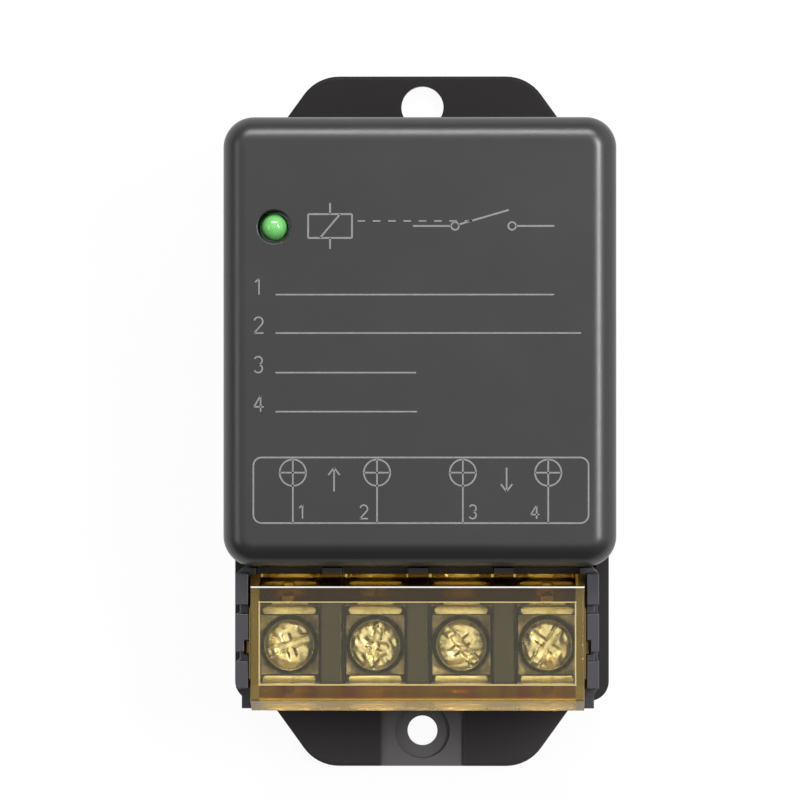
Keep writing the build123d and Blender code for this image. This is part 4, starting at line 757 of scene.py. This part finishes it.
# Schematic of a relay: coil, link and make contact
coil_x, coil_y = at_pixel(330.0, 226.0)
coil_half_x, coil_half_y, coil_slant, coil_lead = 2.4, 1.3, 1.1, 2.5
coil_low, coil_high = (coil_x - coil_half_x, coil_y - coil_half_y), (coil_x + coil_half_x, coil_y + coil_half_y)
strokes.append(ribbon(rounded_frame(coil_low, coil_high, 0.12), symbol_line, True))
strokes.append(ribbon([(coil_x - coil_slant, coil_low[1]), (coil_x + coil_slant, coil_high[1])], symbol_line))
for side in (-1, 1):
    strokes.append(ribbon([(coil_x, coil_y + side * coil_half_y), (coil_x, coil_y + side * coil_lead)], symbol_line))
blade_x, contact_x = at_pixel(455.0, 0)[0], at_pixel(512.0, 0)[0]
blade_tip = (contact_x - 0.35, coil_y + 1.75)
link_height = coil_y + 0.55
dash = np.linspace(coil_x + 3.0, (blade_x + contact_x) / 2 - 0.4, 17)
for start, end in zip(dash[0::2], dash[1::2]):
    strokes.append(ribbon([(start, link_height), (end, link_height)], 0.16))
pole_radius, pole_lead = 0.42, 4.6
for x, run in ((blade_x, -1), (contact_x, 1)):
    strokes.append(ribbon(arc_of((x, coil_y), pole_radius, 0, 360, 24)[:-1], closed=True))
    strokes.append(ribbon([(x + run * pole_radius, coil_y), (x + run * pole_lead, coil_y)], symbol_line))
strokes.append(ribbon([(blade_x + 0.4, coil_y + 0.16), blade_tip], symbol_line))

# Ruled lines with the terminals' numbers, left blank for whoever wires the module
rule_pixels = ((294.6, 554.0), (333.0, 581.0), (372.6, 416.0), (411.6, 417.0))  # the rule's height, its right end
for number, (pixel, end) in enumerate(rule_pixels, start=1):
    x, y = at_pixel(253.5, pixel)
    strokes += numeral(number, (x, y), 1.75)
    strokes.append(ribbon([(x + 2.4, y), (at_pixel(end, 0)[0], y)], 0.17))
add_piece(mesh_of("label_print", strokes), "label_print", "root", "cover_grey", material="label_ink")


# Status lamp: dome, body and flange turned from one profile
lens_radius, lens_flange, flange_rise, flange_edge = 1.5, 1.9, 1.0, 0.08
lens_foot, dome_start = lens_low[2], lens_high[2] - lens_radius
profile = np.vstack([
    [(0.0, lens_foot), (lens_flange - flange_edge, lens_foot), (lens_flange, lens_foot + flange_edge)],
    [(lens_flange, lens_foot + flange_rise - flange_edge), (lens_flange - flange_edge, lens_foot + flange_rise)],
    [(lens_radius, lens_foot + flange_rise), (lens_radius, dome_start - support)],
    arc_of((0, dome_start), lens_radius, 0, 90, 24)])
lens = turned(profile, (*middle("lamp_lens")[:2], 0), 96)
add_piece(mesh_of("lamp_lens_form", [lens]), "lamp_dome", "root", "lamp_green", ("lamp_lens",))

# Pairing button: a dished cap on a flange and a stem
button_face, cap_radius, flange_radius, stem_radius = button_low[0], 1.5, 2.1, 1.0
dish_radius, dish_depth, cap_edge, flange_thick = 1.3, 0.10, 0.12, 0.8
flange_face = cover_low[0] + cover_wall + 0.3
dish = [(radius, button_face + dish_depth * (1 - (radius / dish_radius) ** 2))
        for radius in np.linspace(0, dish_radius, 9)]
profile = np.vstack([
    dish, arc_of((cap_radius - cap_edge, button_face + cap_edge), cap_edge, 270, 360, 4),
    [(cap_radius, flange_face), (flange_radius - 0.05, flange_face), (flange_radius, flange_face + 0.05)],
    [(flange_radius, flange_face + flange_thick), (stem_radius, flange_face + flange_thick)],
    [(stem_radius, button_high[0]), (0, button_high[0])]])
button = turned(profile, (0, button_mid[1], button_mid[2]), 72, axis="x")
add_piece(mesh_of("pairing_button_form", [button]), "button_cap", "pairing_button", "button_black",
          ("pairing_button",))

# Mouldings and pressings whose solids are already right, with their edges rounded
moulding("base_tray", "tray_moulding", "tray_black", 0.12)
moulding("terminal_block", "barrier_block", "block_black", 0.12)
moulding("terminal_cover", "amber_cover", "clear_amber", 0.13, "terminal_cover", 3)
for number in terminals:
    moulding(f"terminal_contact_{number}", f"contact_plate_{number}", "contact_brass", 0.06, segments=2)


def smooth_step(value, low, high):
    """0 below low, 1 above high, and the cubic 3t^2 - 2t^3 between them."""
    share = np.clip((value - low) / (high - low), 0, 1)
    return share * share * (3 - 2 * share)


def clamp_washer(low, high):
    """A strip bent up at both ends: a rounded rectangle, which is the strip's section, is carried along the strip's
    middle line. Round the screw its top is coined down: by 0.34 mm out to 2.72 mm from the axis, which fades by
    3.26 mm, and by another 0.24 mm, which fades from 2.9 to 4.6 mm. Inside 2.3 mm, under the screw's head, the strip
    keeps its full height as a seat."""
    thick, bend, edge = 0.95, 0.62, 0.16
    ring_depth, dish_depth = 0.34, 0.24
    tip_narrowing, tip_reach = 0.42, 0.75
    flat_points, rise_points, top_points, foot_points = 70, 12, 76, 20
    half_x, half_y = (high[0] - low[0]) / 2, (high[1] - low[1]) / 2
    mid_z, reach_y = low[2] + thick / 2, half_y - thick / 2

    # The strip's middle line, from one tip to the other
    corner = arc_of((reach_y - bend, mid_z + bend), bend, -90, 0, 10)
    flat = np.stack([np.linspace(0, reach_y - bend - 0.03, flat_points), np.full(flat_points, mid_z)], -1)
    rise_z = np.linspace(mid_z + bend + 0.02, high[2] - 0.14, rise_points)
    rise = np.stack([np.full(rise_points, reach_y), rise_z], -1)
    tip = [(reach_y, high[2] - 0.04), (reach_y, high[2])]
    half = np.vstack([flat, corner, rise, tip])
    line = np.vstack([half[:0:-1] * (-1, 1), half])
    along = np.gradient(line, axis=0)
    along /= np.linalg.norm(along, axis=1)[:, None]
    normal = np.stack([-along[:, 1], along[:, 0]], -1)

    # Its section: across the top, down one side, back under the foot and up the other side
    width = half_x - tip_narrowing * smooth_step(line[:, 1], high[2] - tip_reach, high[2])
    swell = np.ones(len(line))
    swell[[1, -2]], swell[[0, -1]] = 0.86, 0.55
    across = np.concatenate([np.linspace(-1, 1, top_points), [1.0], np.linspace(1, -1, foot_points), [-1.0]])[None, :]
    side = np.concatenate([np.ones(top_points), [0.0], -np.ones(foot_points), [0.0]])[None, :]
    rounding = edge * (1 - np.clip((1 - abs(across)) * half_x / edge, 0, 1) ** 0.5) ** 2
    spread = side * (thick / 2 - rounding) * swell[:, None]
    x = across * width[:, None]
    x = np.where(side == 0, x, x * (1 - 0.35 * edge / half_x))
    y = line[:, :1] + normal[:, :1] * spread
    z = line[:, 1:] + normal[:, 1:] * spread

    # What is coined into the flat top
    away = np.hypot(x, y)
    coined = ring_depth * (1 - smooth_step(away, 2.72, 3.26)) + dish_depth * (1 - smooth_step(away, 2.9, 4.6))
    coined = coined * smooth_step(away, 2.30, 2.55)
    z = z - np.where((side > 0) & (abs(y) < reach_y - thick / 2), coined, 0)
    rings = np.stack([x, y, z], -1)
    cap = rings.mean(axis=1, keepdims=True)[[0, -1]] + 0 * rings[[0, -1]]
    rings = np.concatenate([cap[:1], rings, cap[1:]])
    centre = np.array([(low[0] + high[0]) / 2, (low[1] + high[1]) / 2, 0])
    return rings.reshape(-1, 3) + centre, grid(len(rings), rings.shape[1], round_columns=True)


clamp_bore = 1.7
for number in terminals:
    clamp = f"wire_clamp_{number}"
    (clamp_low, clamp_high), screw_axis = span(clamp), middle(clamp)
    bore_foot, bore_top = clamp_low[2] - 1.0, clamp_low[2] + 1.5
    bore = turned([(0, bore_foot), (clamp_bore, bore_foot), (clamp_bore, bore_top), (0, bore_top)],
                  (screw_axis[0], screw_axis[1], 0), 64)
    washer = cut(mesh_of(f"clamp_form_{number}", [clamp_washer(clamp_low, clamp_high)]), bore)
    add_piece(washer, f"clamp_washer_{number}", clamp, "clamp_steel", (clamp,), 40)

# Terminal screws
head_radius, head_rim, head_height, head_chamfer = 2.75, 1.70, 2.2, 0.2
shank_radius, thread_length, thread_pitch, thread_depth, core_radius = 1.5, 7.0, 0.5, 0.14, 1.3
screw_turns = (20, 75, 130, 54)  # degrees, as the four screws were left


def screw_head(turn, seed):
    """The head's top on a polar grid: a spherical dome, less a slot and a cross whose floors rise outwards, with
    burrs thrown up at the slot's ends by a driver, and nine waves of random size, direction and phase as dents."""
    cross_length, cross_width, cross_depth = 3.2, 0.85, 0.30
    slot_length, slot_width, slot_depth = 4.9, 0.75, 0.13
    edge_fall, burr_height, dent_depth = 0.16, 0.26, 0.024
    steps = 240
    angle = np.linspace(0, math.tau, steps, endpoint=False)
    reach = np.concatenate([np.linspace(0, 2.6, 150), np.linspace(2.62, head_radius, 8)])[:, None]
    rise = head_height - 0.12 - head_rim
    sphere = (head_radius ** 2 + rise ** 2) / (2 * rise)
    dome = head_rim + np.sqrt(sphere ** 2 - reach ** 2) - (sphere - rise) + 0 * angle
    dome = dome - edge_fall * smooth_step(reach, 2.25, 2.95)
    along = reach * np.cos(angle - turn)
    across = reach * np.sin(angle - turn)
    far = reach + 0 * angle

    def trough(length, width, run, side):
        """1 inside a rectangle and 0 outside it, with soft walls."""
        wall = 0.24
        return (1 - smooth_step(abs(side), width / 2 - wall, width / 2 + wall)) * (
            1 - smooth_step(abs(run), length / 2 - 2 * wall, length / 2 + wall))
    cross = np.maximum(trough(cross_length, cross_width, along, across),
                       trough(cross_length, cross_width, across, along))
    slot = trough(slot_length, slot_width, along, across)
    top = dome - cross_depth * cross * (1 - 0.22 * far) - slot_depth * slot * (1 - 0.18 * far)
    chance = np.random.default_rng(seed)
    ragged = np.interp(angle, np.linspace(0, math.tau, 72), chance.uniform(0.0, 1.0, 72))
    lip = np.exp(-((abs(across) - 0.50) / 0.13) ** 2) * smooth_step(abs(along), 1.1, 1.9) * (
        1 - smooth_step(abs(along), 2.35, 2.7))
    top = top + burr_height * lip * (0.30 + 0.70 * ragged) * (1 - 0.5 * slot)
    dent = 0
    for wave in range(9):
        size, lengthways = chance.uniform(-1, 1), chance.uniform(2, 7)
        sideways, phase = chance.uniform(-6, 6), chance.uniform(0, 6)
        dent = dent + size * np.cos(along * lengthways + across * sideways + phase)
    top = top + dent_depth * dent * (1 - smooth_step(far, 2.2, 2.7))
    rings = np.stack([reach * np.cos(angle), reach * np.sin(angle), np.minimum(top, head_height)], -1)
    return rings, angle


def terminal_screw(centre, foot, turn, seed):
    """The head's rings, then its rim and the face below it, then a thread: a shank whose radius follows a helix."""
    rings, angle = screw_head(turn, seed)

    def ring(reach, height):
        reach = reach + 0 * angle
        return np.stack([reach * np.cos(angle), reach * np.sin(angle), height + 0 * angle], -1)[None]
    parts = [rings, ring(head_radius, head_rim - 0.06), ring(head_radius, head_chamfer),
             ring(head_radius - head_chamfer, 0.0), ring(shank_radius, 0.0)]
    for height in np.linspace(-0.1, -thread_length + 0.2, 84):
        phase = height / thread_pitch + angle / math.tau
        ridge = abs((phase % 1) * 2 - 1)
        parts.append(ring(shank_radius - thread_depth * ridge, height))
    parts += [ring(core_radius, -thread_length), ring(0.0, -thread_length)]
    rings = np.concatenate(parts)
    points = rings.reshape(-1, 3) + np.array([centre[0], centre[1], foot])
    return points, grid(len(rings), rings.shape[1], round_columns=True)


for number, turn in zip(terminals, screw_turns):
    screw = f"terminal_screw_{number}"
    form = terminal_screw(middle(screw), span(screw)[1][2] - head_height, math.radians(turn), number)
    add_piece(mesh_of(f"{screw}_form", [form]), f"screw_{number}", screw, "zinc_yellow_steel", (screw,), 40)


# Floor, studio light and camera
def on_rays(sheet, *kinds):
    """1 for rays of these kinds and 0 for all others."""
    path = sheet.node("ShaderNodeLightPath").socket.node
    share, *others = (Wire(sheet, path.outputs[kind]) for kind in kinds)
    for other in others:
        share = share.larger(other)
    return share


def floor_finish(sheet):
    """Pale paper that gives its white to the camera and to reflections, and keeps a faint shadow. From below it
    isn't seen."""
    seen = on_rays(sheet, "Is Camera Ray", "Is Glossy Ray", "Is Transmission Ray")
    paper = sheet.mix(sheet.noise(1.2, 3.0), (0.80, 0.80, 0.80), (0.84, 0.84, 0.84))
    diffuse = sheet.node("ShaderNodeBsdfDiffuse", inputs={"Color": paper})
    glow = sheet.node("ShaderNodeEmission", inputs={"Color": (1.0, 1.0, 1.0), "Strength": 1.0})
    front = blend(sheet, seen * 0.95, diffuse, glow)
    behind = sheet.node("ShaderNodeNewGeometry", output="Backfacing")
    sheet.surface(blend(sheet, behind, front, sheet.node("ShaderNodeBsdfTransparent")))


def floor_sheet(half):
    """One square at the height of the module's back."""
    mesh = bpy.data.meshes.new("studio_floor")
    mesh.from_pydata([(-half, -half, 0), (half, -half, 0), (half, half, 0), (-half, half, 0)], [], [(0, 1, 2, 3)])
    return mesh


finish("studio_paper", floor_finish)
floor = bpy.data.objects.new("studio_floor", floor_sheet(3.0))
floor.data.materials.append(finishes["studio_paper"])
bpy.context.scene.collection.objects.link(floor)

# Grey walls, lighter to the right and at the horizon and darker in front, and a round white card overhead
wall_light, right_light, horizon_light, front_loss, card_light = 0.34, 0.7, 0.4, 0.8, 0.90
card_direction = Vector((-0.08, 0.20, 0.97)).normalized()
world = bpy.data.worlds.new("studio")
bpy.context.scene.world = world
world.use_nodes = True
sky = Sheet(world.node_tree)
seen = on_rays(sky, "Is Camera Ray", "Is Transmission Ray")
direction = sky.node("ShaderNodeTexCoord", output="Generated")
x, y, z = sky.apart(direction)
towards_card = sky.node("ShaderNodeVectorMath", {"operation": "DOT_PRODUCT"}, {0: direction, 1: card_direction},
                        output="Value")
card = towards_card.between(0.86, 0.94)
walls = wall_light + x.between(0.2, 0.9) * right_light + (1.0 - z).between(0.88, 1.0) * horizon_light
walls = walls * (1.0 - (y * -1.0).between(0.0, 0.5) * front_loss)
light = walls + (card_light - walls) * card
dome = sky.node("ShaderNodeCombineColor", inputs={0: light, 1: light, 2: light})
shown = sky.mix(seen, dome, (1.0, 1.0, 1.0))
background = sky.node("ShaderNodeBackground", inputs={"Color": shown, "Strength": 1.0})
sky.node("ShaderNodeOutputWorld", inputs={"Surface": background})


def softbox(name, azimuth, zenith, distance, along, deep, radiance):
    """A rectangular lamp at an azimuth and an angle from the zenith, in degrees, that faces the module. It is along
    metres long round the module and deep metres towards the zenith."""
    a, z = math.radians(azimuth), math.radians(zenith)
    towards = Vector((math.cos(a) * math.sin(z), math.sin(a) * math.sin(z), math.cos(z)))
    beside = Vector((-math.sin(a), math.cos(a), 0.0))
    lamp = bpy.data.lights.new(name, "AREA")
    lamp.shape, lamp.size, lamp.size_y = "RECTANGLE", along, deep
    lamp.energy = radiance * math.pi * along * deep  # a lamp of power P and area A has radiance P / (pi A)
    box = bpy.data.objects.new(name, lamp)
    bpy.context.scene.collection.objects.link(box)
    turn = Matrix((beside, towards.cross(beside), towards)).transposed().to_4x4()
    box.matrix_world = Matrix.Translation(towards * distance) @ turn


softbox("strip_right", 17.0, 32.0, 0.85, 0.32, 0.14, 33.0)
softbox("soft_back", 90.0, 43.5, 1.2, 0.90, 0.30, 13.0)
softbox("soft_left", 180.0, 49.0, 1.2, 0.8, 0.34, 2.4)

# The camera looks straight down at the label from 0.7 m, a little to the right of the middle
camera_place = Vector((7.9, 0.0, 698.0)) * MM
camera_target = Vector((-2.57, 2.41, 0.0)) * MM
backward = (camera_place - camera_target).normalized()
rightward = Vector((0.0, 1.0, 0.0)).cross(backward).normalized()
upward = backward.cross(rightward)
lens_camera = bpy.data.cameras.new("label_view")
lens_camera.lens, lens_camera.sensor_width, lens_camera.clip_start = 275.6, 36.0, 0.01  # mm, mm, m
camera = bpy.data.objects.new("label_view", lens_camera)
camera.matrix_world = Matrix.Translation(camera_place) @ Matrix((rightward, upward, backward)).transposed().to_4x4()
bpy.context.scene.collection.objects.link(camera)
bpy.context.scene.camera = camera
bpy.context.scene.view_settings.view_transform = "Standard"
